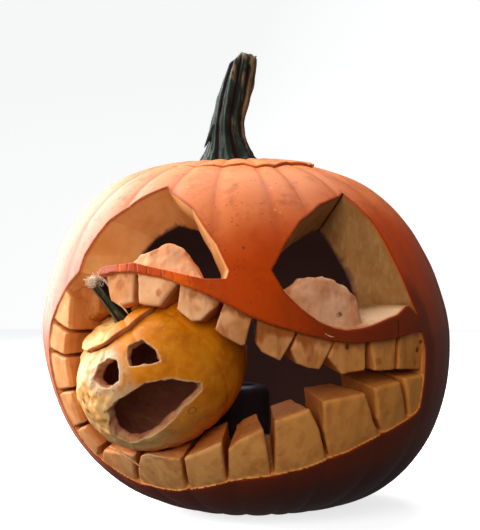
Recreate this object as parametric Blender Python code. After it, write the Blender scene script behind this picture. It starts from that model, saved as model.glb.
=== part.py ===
"""Carved pumpkin lantern.

A large hollow pumpkin with two slanting eyes and a wide grin of peeled flesh teeth. Its lid lifts
out by the stalk. A small carved pumpkin with a lid of its own is held between the teeth, and a
dark candle jar stands on the floor of the hollow.

Blender units are metres, +Z is up and the face looks along -Y. The origin lies on the flat spot
that the lantern rests on, under the middle of its waist. Tables below are in millimetres and
degrees: a "turn" is an angle about the pumpkin's own axis, 0 at the front and positive to the
viewer's right, and an outline's points are (turn, height) on the skin.
"""
import math

import bmesh
import bpy
from mathutils import Matrix, Vector

MM = 0.001
GAP = 0.3                      # clearance between touching pieces
SHARP_ANGLE = 35.0             # degrees, edges bent further than this stay sharp
FIRST_TURN = 1.7               # degrees, where every gourd's first meridian stands
POLE_SHARE = 0.35              # the last ring stands this part of a step short of the pole

# ---------------------------------------------------------------- large pumpkin
WAIST_RADIUS = 160.0
WAIST_HEIGHT = 139.0
CROWN_RISE = 133.0             # waist to the crown of the body
FOOT_DROP = 140.5              # waist to the pole that the flat foot cuts off
CROWN_POWERS = (3.28, 1.68)    # superellipse powers across and up, above the waist
FOOT_POWERS = (2.97, 2.05)     # and below it
RIB_COUNT = 20
RIB_DEPTH = 2.2
DIMPLE_RADIUS = 46.0
DIMPLE_DEPTH = 3.0
LEAN = -0.061                  # sideways shift of the axis for each millimetre of height
SKIN_SEGMENTS = 60
SKIN_STEPS = 10                # rings in each half of the profile

# ---------------------------------------------------------------- hollow
HOLLOW_RADIUS = 114.0
HOLLOW_WAIST = 137.0
HOLLOW_RISE = 101.0
HOLLOW_DROP = 107.0
HOLLOW_FLOOR = 36.0            # height of its scraped flat floor
HOLLOW_POWERS = (2.6, 2.2)
HOLLOW_SEGMENTS = 34
HOLLOW_STEPS = 5

# ---------------------------------------------------------------- lid and stalk
LID_HALF_WIDTH = 60.0
LID_HALF_LENGTH = 68.0         # the lid is an oval, longer towards the front
LID_SHIFT = -8.0               # its middle, forward of the axis
LID_SEAM_HEIGHT = 267.0        # height at which those sizes are measured
LID_ZIGZAG = 2.6
LID_ZIGZAGS = 9
LID_TAPER = 0.5                # inward run of the cut for each unit of depth
LID_BOTTOM = 241.0
LID_TILT = 1.4                 # degrees, it sits with its right side a little proud
LID_GAP = 0.6                  # clearance of the lid in its hole
LID_HOLE_BOTTOM = 215.0        # well inside the hollow
CONE_OVERRUN = 20.0            # how far a lid's cut goes on above the crown
LID_SEGMENTS = 36
STALK_RIDGES = 7
STALK_RINGS = [                # centre offset, height, half-width, ridge depth
    (-12.0, 262.0, 25.5, 2.6),
    (-12.2, 271.5, 24.5, 3.0),
    (-12.9, 276.0, 20.5, 2.8),
    (-13.6, 283.0, 17.6, 2.4),
    (-14.2, 300.0, 13.3, 2.0),
    (-11.4, 322.0, 12.4, 1.7),
    (-6.4, 342.0, 11.6, 1.5),
    (-2.6, 354.0, 11.0, 1.2),
    (-1.4, 359.0, 8.6, 0.6),
]
STALK_POINTS_PER_RIDGE = 3
STALK_TWIST = 0.1              # radians, keeps its ridges off the pumpkin's own ribs
STALK_CROWN = 0.8              # how far the middle of the cut end stands up

# ---------------------------------------------------------------- eyes
# (turn, height) on the skin, then (turn, height) where the cut breaks into the hollow
LEFT_EYE = [
    (-28.0, 248.0, -36.0, 219.0),
    (-15.0, 230.0, -22.0, 216.0),
    (-7.0, 205.0, -13.5, 200.0),
    (-3.7, 187.0, -9.0, 184.0),
    (-4.5, 181.5, -9.0, 176.0),
    (-10.5, 181.5, -11.0, 174.0),
    (-20.0, 187.0, -20.0, 176.0),
    (-31.0, 192.5, -31.0, 180.0),
    (-41.0, 190.5, -41.0, 180.5),
    (-43.4, 187.8, -43.4, 179.0),
    (-53.0, 183.0, -49.0, 178.0),
    (-51.0, 198.0, -48.0, 196.0),
    (-47.0, 220.0, -46.0, 209.0),
    (-37.0, 239.0, -42.0, 214.0),
]
RIGHT_EYE = [
    (43.0, 244.0, 46.0, 216.0),
    (47.5, 222.0, 45.0, 205.0),
    (48.5, 196.0, 45.0, 190.0),
    (49.0, 173.0, 46.5, 171.0),
    (47.0, 161.0, 47.0, 161.0),
    (36.5, 153.5, 40.0, 159.0),
    (29.7, 147.8, 33.0, 157.0),
    (22.5, 147.0, 24.0, 157.0),
    (16.0, 155.0, 17.0, 160.0),
    (10.4, 172.0, 11.0, 170.0),
    (7.6, 187.0, 8.0, 178.0),
    (12.2, 204.7, 14.0, 196.0),
    (18.4, 221.0, 24.0, 206.0),
    (28.0, 234.0, 36.0, 213.0),
]
# peeled lumps of flesh left standing in the lower part of each eye
LUMP_FRONT = 6.0
LUMP_BACK = 34.0
LUMPS = [
    [(-11.0, 177.0), (-12.9, 188.0), (-17.1, 202.0), (-20.0, 205.5), (-24.5, 204.0),
     (-28.0, 200.0), (-31.5, 193.5), (-31.0, 188.0), (-20.0, 182.5)],
    [(8.4, 174.0), (10.5, 175.0), (13.3, 176.5), (15.5, 180.0), (18.5, 183.0), (22.0, 182.0),
     (25.0, 179.5), (28.0, 174.5), (30.2, 166.0), (31.0, 156.0), (31.0, 147.0), (29.0, 141.5),
     (22.0, 141.5), (15.0, 150.0), (11.0, 162.0)],
]

# ---------------------------------------------------------------- mouth
# (turn, lowest height, highest height) of the opening in the skin
MOUTH = [
    (-72.5, 88.0, 104.0), (-71.0, 74.0, 122.0), (-69.0, 63.0, 135.0), (-66.0, 53.0, 148.0),
    (-62.0, 45.0, 162.0), (-57.5, 39.0, 168.0), (-53.0, 34.0, 169.0), (-47.0, 29.0, 169.5),
    (-43.6, 28.5, 169.5), (-43.3, 28.4, 183.0), (-37.0, 27.0, 185.5), (-31.0, 27.0, 186.0),
    (-24.0, 29.0, 183.0), (-19.5, 31.0, 180.5), (-12.6, 35.0, 173.5), (-6.0, 38.5, 166.0),
    (1.0, 41.0, 155.5), (8.0, 43.0, 148.0), (14.0, 47.0, 143.5), (21.0, 53.0, 138.5),
    (28.0, 58.5, 136.2), (37.5, 68.0, 137.5), (44.0, 74.0, 140.0), (49.5, 79.5, 142.5),
    (52.5, 82.5, 142.0), (54.2, 86.0, 130.0),
]
# hollow scooped where the left eye runs into the mouth: (turn, low, high, depth)
SCOOP = [
    (-62.0, 158.0, 168.0, 1.0), (-57.0, 160.0, 180.0, 7.0), (-52.0, 160.0, 187.0, 15.0),
    (-43.3, 160.0, 190.0, 23.0),
]
CUT_REACH = 1.28               # how far a cutter stands outside the skin, as a scale from the core
CUT_DEPTH = 62.0               # how deep a through cut goes, towards the core
EYE_MARGIN = 4.0               # where an eye's cutter bends, just inside the hollow
EYE_OVERRUN = 16.0             # how far an eye's cutter goes on inside the hollow

# teeth of flesh, as outlines of their peeled fronts; each root runs on into the wall
TOOTH_FRONT = 4.0
TOOTH_BACK = 40.0
UPPER_TEETH = [
    [(-42.5, 189.5), (-30.8, 189.8), (-29.6, 165.0), (-35.0, 161.5), (-38.5, 166.0)],
    [(-29.3, 188.0), (-18.2, 183.5), (-18.3, 178.0), (-22.5, 162.3), (-28.3, 164.3)],
    [(-17.0, 181.0), (-5.8, 169.0), (-7.0, 163.5), (-11.8, 152.5), (-13.8, 152.0), (-18.0, 160.5)],
    [(-5.0, 168.0), (2.2, 157.0), (1.2, 152.5), (-0.6, 136.0), (-1.5, 135.0), (-5.8, 141.0),
     (-8.2, 146.5)],
    [(2.9, 156.0), (12.8, 147.5), (12.5, 143.3), (8.0, 124.5), (3.6, 130.8), (2.2, 137.0)],
    [(13.7, 148.0), (23.0, 141.5), (22.7, 137.2), (18.3, 118.2), (15.3, 118.8), (12.4, 122.3),
     (10.9, 132.5)],
    [(23.9, 141.5), (32.5, 141.0), (32.2, 136.5), (31.8, 116.3), (24.8, 114.5), (20.6, 126.5)],
    [(33.3, 142.0), (43.2, 143.0), (42.9, 138.0), (42.3, 115.3), (34.9, 116.0)],
    [(44.3, 144.0), (57.0, 147.0), (57.0, 113.0), (43.2, 115.2)],
]
LOWER_TEETH = [
    [(-70.5, 153.5), (-65.0, 168.0), (-59.5, 174.0), (-55.5, 167.0), (-54.8, 143.5)],
    [(-75.0, 129.5), (-72.0, 151.0), (-57.0, 140.5), (-58.8, 124.5)],
    [(-78.0, 93.0), (-76.5, 126.0), (-58.9, 121.5), (-59.5, 99.5)],
    [(-76.5, 63.5), (-78.0, 90.0), (-59.5, 96.5), (-59.5, 72.5)],
    [(-67.5, 40.5), (-78.0, 60.5), (-59.0, 70.0), (-56.2, 55.5)],
    [(-50.5, 25.0), (-66.0, 38.5), (-54.5, 53.0), (-39.2, 53.0), (-48.6, 30.0)],
    [(-26.0, 25.0), (-47.0, 25.0), (-47.2, 30.5), (-37.0, 53.0), (-22.6, 53.0), (-25.6, 31.0)],
    [(-9.4, 33.5), (-24.2, 25.5), (-24.0, 31.0), (-21.5, 53.5), (-16.3, 59.0), (-8.9, 67.0), (-9.6, 40.0)],
    [(5.1, 37.0), (-8.4, 33.5), (-8.6, 40.0), (-7.4, 61.5), (-4.0, 69.0), (2.8, 77.0), (5.0, 43.0)],
    [(22.2, 47.0), (6.3, 37.0), (6.2, 43.0), (6.0, 82.5), (15.4, 91.0), (18.6, 75.0), (21.8, 52.5)],
    [(39.6, 61.5), (23.4, 47.0), (23.0, 52.5), (20.0, 75.0), (18.8, 96.0), (31.5, 100.5),
     (35.3, 80.0), (38.9, 68.0)],
    [(50.2, 71.0), (40.8, 62.5), (40.3, 68.5), (36.9, 81.0), (34.5, 103.3), (44.0, 107.5),
     (49.8, 77.5)],
    [(59.0, 82.0), (51.2, 73.0), (50.9, 78.5), (45.3, 109.0), (58.0, 111.3)],
]
# two stubs that hang from the scooped wall, further in
STUB_FRONT = 27.0
STUB_BACK = 44.0
STUB_TEETH = [
    [(-53.8, 178.0), (-48.8, 178.0), (-48.2, 162.0), (-51.5, 157.0), (-54.4, 164.0)],
    [(-47.8, 178.0), (-42.0, 178.0), (-41.5, 158.0), (-44.5, 154.5), (-47.4, 158.0)],
]
OUTLINE_STEP = 17.0            # longest edge of a lofted outline, millimetres or degrees

# ---------------------------------------------------------------- small pumpkin
SMALL_CENTRE = (-61.9, -92.0, 115.3)
SMALL_LEAN = -35.5             # degrees, stalk to the viewer's left
SMALL_NOD = 10.0               # degrees, stalk towards the viewer
SMALL_RADIUS = 64.3
SMALL_HALF_HEIGHT = 54.6
SMALL_POWERS = (2.1, 2.1)
SMALL_WALL = 8.0
SMALL_RIBS = 10
SMALL_RIB_DEPTH = 0.8
SMALL_DIMPLE_RADIUS = 24.0
SMALL_DIMPLE_DEPTH = 6.0
SMALL_SEGMENTS = 30
SMALL_STEPS = 6
SMALL_HOLLOW_SEGMENTS = 20
SMALL_HOLLOW_STEPS = 4
SMALL_SEAM_HEIGHT = 44.0       # above the small pumpkin's middle
SMALL_SEAM_RADIUS = 37.0
SMALL_SEAM_SEGMENTS = 27
SMALL_HOLE_BOTTOM = 28.0       # lower end of the lid's cut, inside the small hollow
SMALL_PLUG_BOTTOM = 35.0       # under side of the lid before its hollow is taken out
SMALL_LID_RAISED = 3.5
SMALL_LID_TAPER = 0.8
SMALL_CUT_REACH = 1.3          # scale of the face cutters outside the skin
SMALL_CUT_DEPTH = 17.0         # and how deep they go
SMALL_STALK_RINGS = [          # centre offset, height above the middle, half-width, ridge depth
    (0.0, 45.0, 9.0, 1.0),
    (0.0, 52.0, 7.6, 1.0),
    (-0.4, 58.0, 5.6, 0.8),
    (-0.9, 74.0, 4.4, 0.7),
    (-0.9, 88.0, 4.5, 0.6),
    (-0.6, 94.0, 4.9, 0.4),
]
SMALL_STALK_RIDGES = 5
SMALL_FACE = [                 # right eye, left eye, mouth: (turn, height above the middle)
    [(-6.0, 37.0), (6.0, 35.0), (9.0, 25.0), (7.0, 18.0), (1.0, 20.0), (-12.0, 26.0), (-11.0, 31.0)],
    [(-38.0, 36.0), (-26.0, 37.0), (-19.0, 34.0), (-21.0, 27.0), (-24.0, 22.0), (-33.0, 21.0),
     (-41.0, 24.0), (-47.0, 30.0)],
    [(-23.0, 11.0), (-9.0, 11.0), (6.0, 3.0), (19.0, -12.0), (17.0, -16.0), (1.0, -19.0),
     (-17.0, -23.0), (-33.0, -25.0), (-53.0, -23.0), (-54.0, -14.0), (-50.0, -3.0),
     (-44.0, 7.0), (-34.0, 11.0)],
]
SEAT_CLEARANCE = 0.8           # room kept round the small pumpkin
SEAT_SEGMENTS = 26

# ---------------------------------------------------------------- candle jar
JAR_PLACE = (-12.0, -8.0)
JAR_RADIUS = 30.0
JAR_HEIGHT = 60.5
JAR_SHOULDER = 8.0
JAR_FOOT_ROUND = 3.0
JAR_SEGMENTS = 26
JAR_ARC_STEPS = 3


# ================================================================ helpers
def clear_scene():
    for item in list(bpy.data.objects):
        bpy.data.objects.remove(item, do_unlink=True)


def finish_material(name, colour, roughness):
    material = bpy.data.materials.new(name)
    material.use_nodes = True
    shader = material.node_tree.nodes["Principled BSDF"]
    shader.inputs["Base Color"].default_value = (*colour, 1.0)
    shader.inputs["Roughness"].default_value = roughness
    shader.inputs["Metallic"].default_value = 0.0
    return material


def add_object(name, mesh_data, material=None):
    """Turn a bmesh in millimetres into an object in metres, outward facing and smooth shaded."""
    bmesh.ops.scale(mesh_data, vec=(MM, MM, MM), verts=mesh_data.verts)
    bmesh.ops.recalc_face_normals(mesh_data, faces=mesh_data.faces)
    mesh = bpy.data.meshes.new(name)
    mesh_data.to_mesh(mesh)
    mesh_data.free()
    mesh.shade_smooth()
    mesh.set_sharp_from_angle(angle=math.radians(SHARP_ANGLE))
    item = bpy.data.objects.new(name, mesh)
    bpy.context.scene.collection.objects.link(item)
    if material:
        mesh.materials.append(material)
    else:
        item.hide_render = True
        item.display_type = 'WIRE'
    return item


def combine(item, operation, cutter):
    modifier = item.modifiers.new(cutter.name, 'BOOLEAN')
    modifier.operation = operation
    modifier.object = cutter
    modifier.solver = 'EXACT'


def add_rings(mesh_data, rings, tips):
    """Skin a stack of equal rings and close each end with a fan round a tip."""
    stack = [[mesh_data.verts.new(point) for point in ring] for ring in rings]
    count = len(stack[0])
    for lower, upper in zip(stack, stack[1:]):
        for i in range(count):
            j = (i + 1) % count
            mesh_data.faces.new((lower[i], lower[j], upper[j], upper[i]))
    for ring, tip in zip((stack[0], stack[-1]), tips):
        centre = mesh_data.verts.new(tip)
        for i in range(count):
            mesh_data.faces.new((ring[i], ring[(i + 1) % count], centre))


def ring_body(name, rings, tips, material=None):
    mesh_data = bmesh.new()
    add_rings(mesh_data, rings, tips)
    return add_object(name, mesh_data, material)


def outline_lofts(name, outlines, levels):
    """Solid lofts in one object. Each level turns a point of the flat outline into its place."""
    mesh_data = bmesh.new()
    for outline in outlines:
        points = stepped(outline)
        middle = [sum(values) / len(points) for values in zip(*points)]
        rings = [[level(*point) for point in points] for level in levels]
        add_rings(mesh_data, rings, (levels[0](*middle), levels[-1](*middle)))
    bmesh.ops.triangulate(mesh_data, faces=mesh_data.faces)
    return add_object(name, mesh_data)


def stepped(outline, step=OUTLINE_STEP):
    """Add points along a closed outline wherever two neighbours are further apart than step."""
    points = []
    for here, following in zip(outline, outline[1:] + outline[:1]):
        longest = max(abs(b - a) for a, b in zip(here, following))
        parts = max(1, math.ceil(longest / step))
        for k in range(parts):
            points.append(tuple(a + (b - a) * k / parts for a, b in zip(here, following)))
    return points


class Gourd:
    """A ribbed body of revolution whose upper and lower halves are superellipses."""

    def __init__(self, radius, waist, rise, drop, top_powers, foot_powers, lean=0.0,
                 ribs=0, rib_depth=0.0, dimple_radius=1.0, dimple_depth=0.0):
        self.radius, self.waist, self.rise, self.drop = radius, waist, rise, drop
        self.top_powers, self.foot_powers, self.lean = top_powers, foot_powers, lean
        self.ribs, self.rib_depth = ribs, rib_depth
        self.dimple_radius, self.dimple_depth = dimple_radius, dimple_depth
        self.core = Vector((0.0, 0.0, waist))

    def half(self, above):
        span = self.rise if above else self.drop
        across, up = self.top_powers if above else self.foot_powers
        return span, across, up

    def radius_at(self, height):
        span, across, up = self.half(height > self.waist)
        share = min(1.0, abs(height - self.waist) / span)
        return self.radius * (1.0 - share ** up) ** (1.0 / across)

    def place(self, turn, radius, height):
        angle = math.radians(turn)
        sideways = self.lean * (height - self.waist)
        return Vector((radius * math.sin(angle) + sideways, -radius * math.cos(angle), height))

    def on_skin(self, turn, height, depth=0.0):
        """A point on the smooth skin, or that deep under it on the way to the core."""
        point = self.place(turn, self.radius_at(height), height)
        return point + (self.core - point).normalized() * depth

    def outside(self, turn, height, reach=CUT_REACH):
        return self.core + (self.on_skin(turn, height) - self.core) * reach

    def groove(self, turn):
        return (0.5 + 0.5 * math.cos(math.radians(self.ribs * turn))) ** 2

    def profile(self, steps, floor=None):
        """Rings from the foot to the crown as (radius, height, outward across, outward up)."""
        rings = []
        for k in range(-steps, steps + 1):
            above = k >= 0
            span, across, up = self.half(above)
            angle = 0.5 * math.pi * abs(k) / (steps + POLE_SHARE)
            share = math.sin(angle) ** (2.0 / up)
            radius = self.radius * math.cos(angle) ** (2.0 / across)
            height = self.waist + (span if above else -span) * share
            if floor is not None and height < floor:
                rings.clear()
                radius, height = self.radius_at(floor), floor
            slope_out = across * (radius / self.radius) ** (across - 1.0) / self.radius
            slope_up = up * share ** (up - 1.0) / span * (1.0 if above else -1.0)
            length = math.hypot(slope_out, slope_up)
            sunk = max(0.0, 1.0 - (radius / self.dimple_radius) ** 2)
            height -= self.dimple_depth * sunk ** 2 if above else 0.0
            rings.append((radius, height, slope_out / length, slope_up / length))
        return rings

    def body(self, name, steps, segments, material=None, floor=None, grow=0.0):
        rings = []
        for radius, height, across, up in self.profile(steps, floor):
            flat = floor is not None and height <= floor
            ring = []
            for i in range(segments):
                turn = FIRST_TURN + 360.0 * i / segments
                push = grow - self.rib_depth * self.groove(turn)
                rise = 0.0 if flat else up * push
                ring.append(self.place(turn, radius + across * push, height + rise))
            rings.append(ring)
        lowest = rings[0][0].z
        highest = self.waist + self.rise - self.dimple_depth + grow
        tips = (self.place(0.0, 0.0, lowest), self.place(0.0, 0.0, highest))
        return ring_body(name, rings, tips, material)


def cone_rings(outline, levels):
    """Rings of one closed outline, scaled about its own middle at each (height, scale)."""
    return [[Vector((x * scale, y * scale, height)) for x, y in outline]
            for height, scale in levels]


def stalk_body(name, rows, ridges):
    """A ridged, bent stalk standing along +Z. Rows run from its root to its cut end."""
    count = ridges * STALK_POINTS_PER_RIDGE
    rings = []
    for offset, height, half_width, ridge in rows:
        ring = []
        for i in range(count):
            around = 2.0 * math.pi * i / count
            radius = half_width - ridge * (0.5 - 0.5 * math.cos(ridges * around))
            angle = around + STALK_TWIST
            ring.append(Vector((offset + radius * math.sin(angle), -radius * math.cos(angle),
                                height)))
        rings.append(ring)
    low, high = rows[0], rows[-1]
    tips = (Vector((low[0], 0.0, low[1])), Vector((high[0], 0.0, high[1] + STALK_CROWN)))
    return ring_body(name, rings, tips)


# ================================================================ large pumpkin
BODY = Gourd(WAIST_RADIUS, WAIST_HEIGHT, CROWN_RISE, FOOT_DROP, CROWN_POWERS, FOOT_POWERS, LEAN,
             RIB_COUNT, RIB_DEPTH, DIMPLE_RADIUS, DIMPLE_DEPTH)
HOLLOW = Gourd(HOLLOW_RADIUS, HOLLOW_WAIST, HOLLOW_RISE, HOLLOW_DROP, HOLLOW_POWERS,
               HOLLOW_POWERS, LEAN)


def lid_outline():
    outline = []
    for i in range(LID_SEGMENTS):
        angle = 2.0 * math.pi * i / LID_SEGMENTS
        wave = math.asin(math.sin(LID_ZIGZAGS * angle)) * 2.0 / math.pi
        radius = 1.0 + wave * LID_ZIGZAG / LID_HALF_WIDTH
        outline.append((LID_HALF_WIDTH * radius * math.sin(angle),
                        -LID_HALF_LENGTH * radius * math.cos(angle)))
    return outline


def lid_cone(name, gap, lowest):
    """The conical saw cut round the lid, or that cut grown by a gap."""
    highest = WAIST_HEIGHT + CROWN_RISE + CONE_OVERRUN
    levels = []
    for height in (lowest, LID_SEAM_HEIGHT, highest):
        run = (height - LID_SEAM_HEIGHT) * LID_TAPER + gap
        levels.append((height, 1.0 + run / LID_HALF_WIDTH))
    middle = LEAN * (LID_SEAM_HEIGHT - WAIST_HEIGHT)
    rings = [[point + Vector((middle, LID_SHIFT, 0.0)) for point in ring]
             for ring in cone_rings(lid_outline(), levels)]
    tips = [Vector((middle, LID_SHIFT, height)) for height in (lowest, highest)]
    return ring_body(name, rings, tips)


def eye_cutter(name, rows):
    levels = [lambda turn, height, *inner: BODY.outside(turn, height),
              lambda turn, height, *inner: BODY.on_skin(turn, height, -0.5),
              lambda turn, height, *inner: HOLLOW.on_skin(*inner, EYE_MARGIN),
              lambda turn, height, *inner: HOLLOW.on_skin(*inner, EYE_OVERRUN)]
    return outline_lofts(name, [rows], levels)


def trench_cutter(name, columns):
    """A wide cut made of columns (turn, low, high, depth), open to the outside."""
    rings = []
    for turn, low, high, depth in columns:
        rings.append([BODY.outside(turn, low), BODY.outside(turn, high),
                      BODY.on_skin(turn, high, depth), BODY.on_skin(turn, low, depth)])
    tips = [sum(ring, Vector()) / len(ring) for ring in (rings[0], rings[-1])]
    return ring_body(name, rings, tips)


def flesh_blocks(name, outlines, front, back):
    levels = [lambda turn, height: BODY.on_skin(turn, height, front),
              lambda turn, height: BODY.on_skin(turn, height, back)]
    return outline_lofts(name, outlines, levels)


def make_pumpkin(rind):
    pumpkin = BODY.body("pumpkin", SKIN_STEPS, SKIN_SEGMENTS, rind, floor=0.0)
    through = [(turn, low, high, CUT_DEPTH) for turn, low, high in MOUTH]
    hollow = HOLLOW.body("hollow_cutter", HOLLOW_STEPS, HOLLOW_SEGMENTS, floor=HOLLOW_FLOOR)
    combine(pumpkin, 'DIFFERENCE', hollow)
    combine(pumpkin, 'DIFFERENCE', lid_cone("lid_hole_cutter", LID_GAP, LID_HOLE_BOTTOM))
    combine(pumpkin, 'DIFFERENCE', trench_cutter("mouth_cutter", through))
    combine(pumpkin, 'DIFFERENCE', trench_cutter("scoop_cutter", SCOOP))
    combine(pumpkin, 'DIFFERENCE', eye_cutter("left_eye_cutter", LEFT_EYE))
    combine(pumpkin, 'DIFFERENCE', eye_cutter("right_eye_cutter", RIGHT_EYE))
    combine(pumpkin, 'UNION', flesh_blocks("teeth_blocks", UPPER_TEETH + LOWER_TEETH,
                                           TOOTH_FRONT, TOOTH_BACK))
    combine(pumpkin, 'UNION', flesh_blocks("stub_blocks", STUB_TEETH, STUB_FRONT, STUB_BACK))
    combine(pumpkin, 'UNION', flesh_blocks("lump_blocks", LUMPS, LUMP_FRONT, LUMP_BACK))
    combine(pumpkin, 'DIFFERENCE', seat_cutter())
    return pumpkin


def make_lid(rind):
    """The plug sawn out of the crown with the stalk on it, tipped about its left seam."""
    lid = BODY.body("lid", SKIN_STEPS, SKIN_SEGMENTS, rind, floor=0.0)
    plug = lid_cone("lid_plug_guide", 0.0, LID_BOTTOM)
    stalk = stalk_body("stalk_guide", STALK_RINGS, STALK_RIDGES)
    combine(lid, 'INTERSECT', plug)
    combine(lid, 'UNION', stalk)
    left_seam = Vector((-LID_HALF_WIDTH, 0.0, LID_SEAM_HEIGHT)) * MM
    tip = Matrix.Rotation(math.radians(-LID_TILT), 4, 'Y')
    for item in (lid, plug, stalk):
        item.matrix_world = Matrix.Translation(left_seam) @ tip @ Matrix.Translation(-left_seam)
    return lid


# ================================================================ small pumpkin
SMALL = Gourd(SMALL_RADIUS, 0.0, SMALL_HALF_HEIGHT, SMALL_HALF_HEIGHT, SMALL_POWERS,
              SMALL_POWERS, 0.0, SMALL_RIBS, SMALL_RIB_DEPTH, SMALL_DIMPLE_RADIUS,
              SMALL_DIMPLE_DEPTH)
SMALL_HOLLOW = Gourd(SMALL_RADIUS - SMALL_WALL, 0.0, SMALL_HALF_HEIGHT - SMALL_WALL,
                     SMALL_HALF_HEIGHT - SMALL_WALL, SMALL_POWERS, SMALL_POWERS)


def tilt_matrix():
    place = Matrix.Translation(Vector(SMALL_CENTRE) * MM)
    lean = Matrix.Rotation(math.radians(SMALL_LEAN), 4, 'Y')
    nod = Matrix.Rotation(math.radians(SMALL_NOD), 4, 'X')
    return place @ lean @ nod


def small_cone(name, gap, lowest):
    """Round conical cut of the small lid. Its widths are measured at the seam."""
    outline = []
    for i in range(SMALL_SEAM_SEGMENTS):
        angle = 2.0 * math.pi * i / SMALL_SEAM_SEGMENTS
        outline.append((SMALL_SEAM_RADIUS * math.sin(angle), -SMALL_SEAM_RADIUS * math.cos(angle)))
    highest = SMALL_HALF_HEIGHT + CONE_OVERRUN
    levels = []
    for height in (lowest, SMALL_SEAM_HEIGHT, highest):
        run = (height - SMALL_SEAM_HEIGHT) * SMALL_LID_TAPER + gap
        levels.append((height, 1.0 + run / SMALL_SEAM_RADIUS))
    tips = (Vector((0.0, 0.0, lowest)), Vector((0.0, 0.0, highest)))
    return ring_body(name, cone_rings(outline, levels), tips)


def make_small_pumpkin(rind):
    small = SMALL.body("small_pumpkin", SMALL_STEPS, SMALL_SEGMENTS, rind)
    cutters = [SMALL_HOLLOW.body("small_hollow_cutter", SMALL_HOLLOW_STEPS, SMALL_HOLLOW_SEGMENTS),
               small_cone("small_lid_hole_cutter", 0.0, SMALL_HOLE_BOTTOM)]
    levels = [lambda turn, height: SMALL.outside(turn, height, SMALL_CUT_REACH),
              lambda turn, height: SMALL.on_skin(turn, height, SMALL_CUT_DEPTH)]
    cutters.append(outline_lofts("small_face_cutter", SMALL_FACE, levels))
    for cutter in cutters:
        combine(small, 'DIFFERENCE', cutter)
        cutter.matrix_world = tilt_matrix()
    small.matrix_world = tilt_matrix()
    return small


def make_small_lid(rind):
    """The cap of the small pumpkin, raised on its stalk's axis, with the flesh left under it."""
    raised = tilt_matrix() @ Matrix.Translation((0.0, 0.0, SMALL_LID_RAISED * MM))
    cap = SMALL.body("small_lid", SMALL_STEPS, SMALL_SEGMENTS, rind)
    shrunk = -SMALL_LID_RAISED * SMALL_LID_TAPER - GAP
    plug = small_cone("small_plug_guide", shrunk, SMALL_PLUG_BOTTOM)
    under = SMALL_HOLLOW.body("small_lid_hollow_cutter", SMALL_HOLLOW_STEPS, SMALL_HOLLOW_SEGMENTS)
    stalk = stalk_body("small_stalk_guide", SMALL_STALK_RINGS, SMALL_STALK_RIDGES)
    combine(cap, 'INTERSECT', plug)
    combine(cap, 'DIFFERENCE', under)
    combine(cap, 'UNION', stalk)
    for item in (cap, plug, under, stalk):
        item.matrix_world = raised
    return cap


def seat_cutter():
    """The room that the small pumpkin and its raised lid take up between the teeth."""
    room = Gourd(SMALL_RADIUS + SEAT_CLEARANCE, 0.0,
                 SMALL_HALF_HEIGHT + SMALL_LID_RAISED + SEAT_CLEARANCE,
                 SMALL_HALF_HEIGHT + SEAT_CLEARANCE, SMALL_POWERS, SMALL_POWERS)
    seat = room.body("seat_cutter", SMALL_STEPS, SEAT_SEGMENTS)
    seat.matrix_world = tilt_matrix()
    return seat


# ================================================================ candle jar
def make_jar(glaze):
    bottom = HOLLOW_FLOOR + GAP
    top = bottom + JAR_HEIGHT
    profile = []
    for corner_height, corner_round, sweep in ((bottom, JAR_FOOT_ROUND, -1.0),
                                               (top, JAR_SHOULDER, 1.0)):
        arc = []
        for k in range(JAR_ARC_STEPS + 1):
            angle = 0.5 * math.pi * k / JAR_ARC_STEPS
            radius = JAR_RADIUS - corner_round * (1.0 - math.cos(angle))
            height = corner_height - sweep * corner_round * (1.0 - math.sin(angle))
            arc.append((radius, height))
        profile += arc if sweep > 0 else arc[::-1]
    rings = []
    for radius, height in profile:
        ring = []
        for i in range(JAR_SEGMENTS):
            angle = 2.0 * math.pi * i / JAR_SEGMENTS
            ring.append(Vector((JAR_PLACE[0] + radius * math.sin(angle),
                                JAR_PLACE[1] - radius * math.cos(angle), height)))
        rings.append(ring)
    tips = (Vector((*JAR_PLACE, bottom)), Vector((*JAR_PLACE, top)))
    return ring_body("candle_jar", rings, tips, glaze)


def main():
    clear_scene()
    rind = finish_material("rind", (0.56, 0.14, 0.03), 0.5)
    lid_rind = finish_material("lid_rind", (0.60, 0.17, 0.04), 0.5)
    pale_rind = finish_material("pale_rind", (0.66, 0.38, 0.10), 0.5)
    pale_lid = finish_material("pale_lid", (0.70, 0.42, 0.13), 0.5)
    glaze = finish_material("glaze", (0.02, 0.02, 0.025), 0.15)
    make_pumpkin(rind)
    make_lid(lid_rind)
    make_small_pumpkin(pale_rind)
    make_small_lid(pale_lid)
    make_jar(glaze)


main()
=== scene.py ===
# %% [markdown]
# # A carved pumpkin lantern
# A big pumpkin with slanting eyes and a wide grin bites a small carved pumpkin. Its lid lifts out by
# the stalk, and a dark candle jar stands in the hollow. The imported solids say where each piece
# stands and how large it is. Here each of them gets the surface of the real thing: ribbed rind,
# knife-cut flesh, dried edges, a woody stalk.

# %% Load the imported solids
import math

import bpy
import numpy as np
from mathutils import Matrix, Vector


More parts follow.
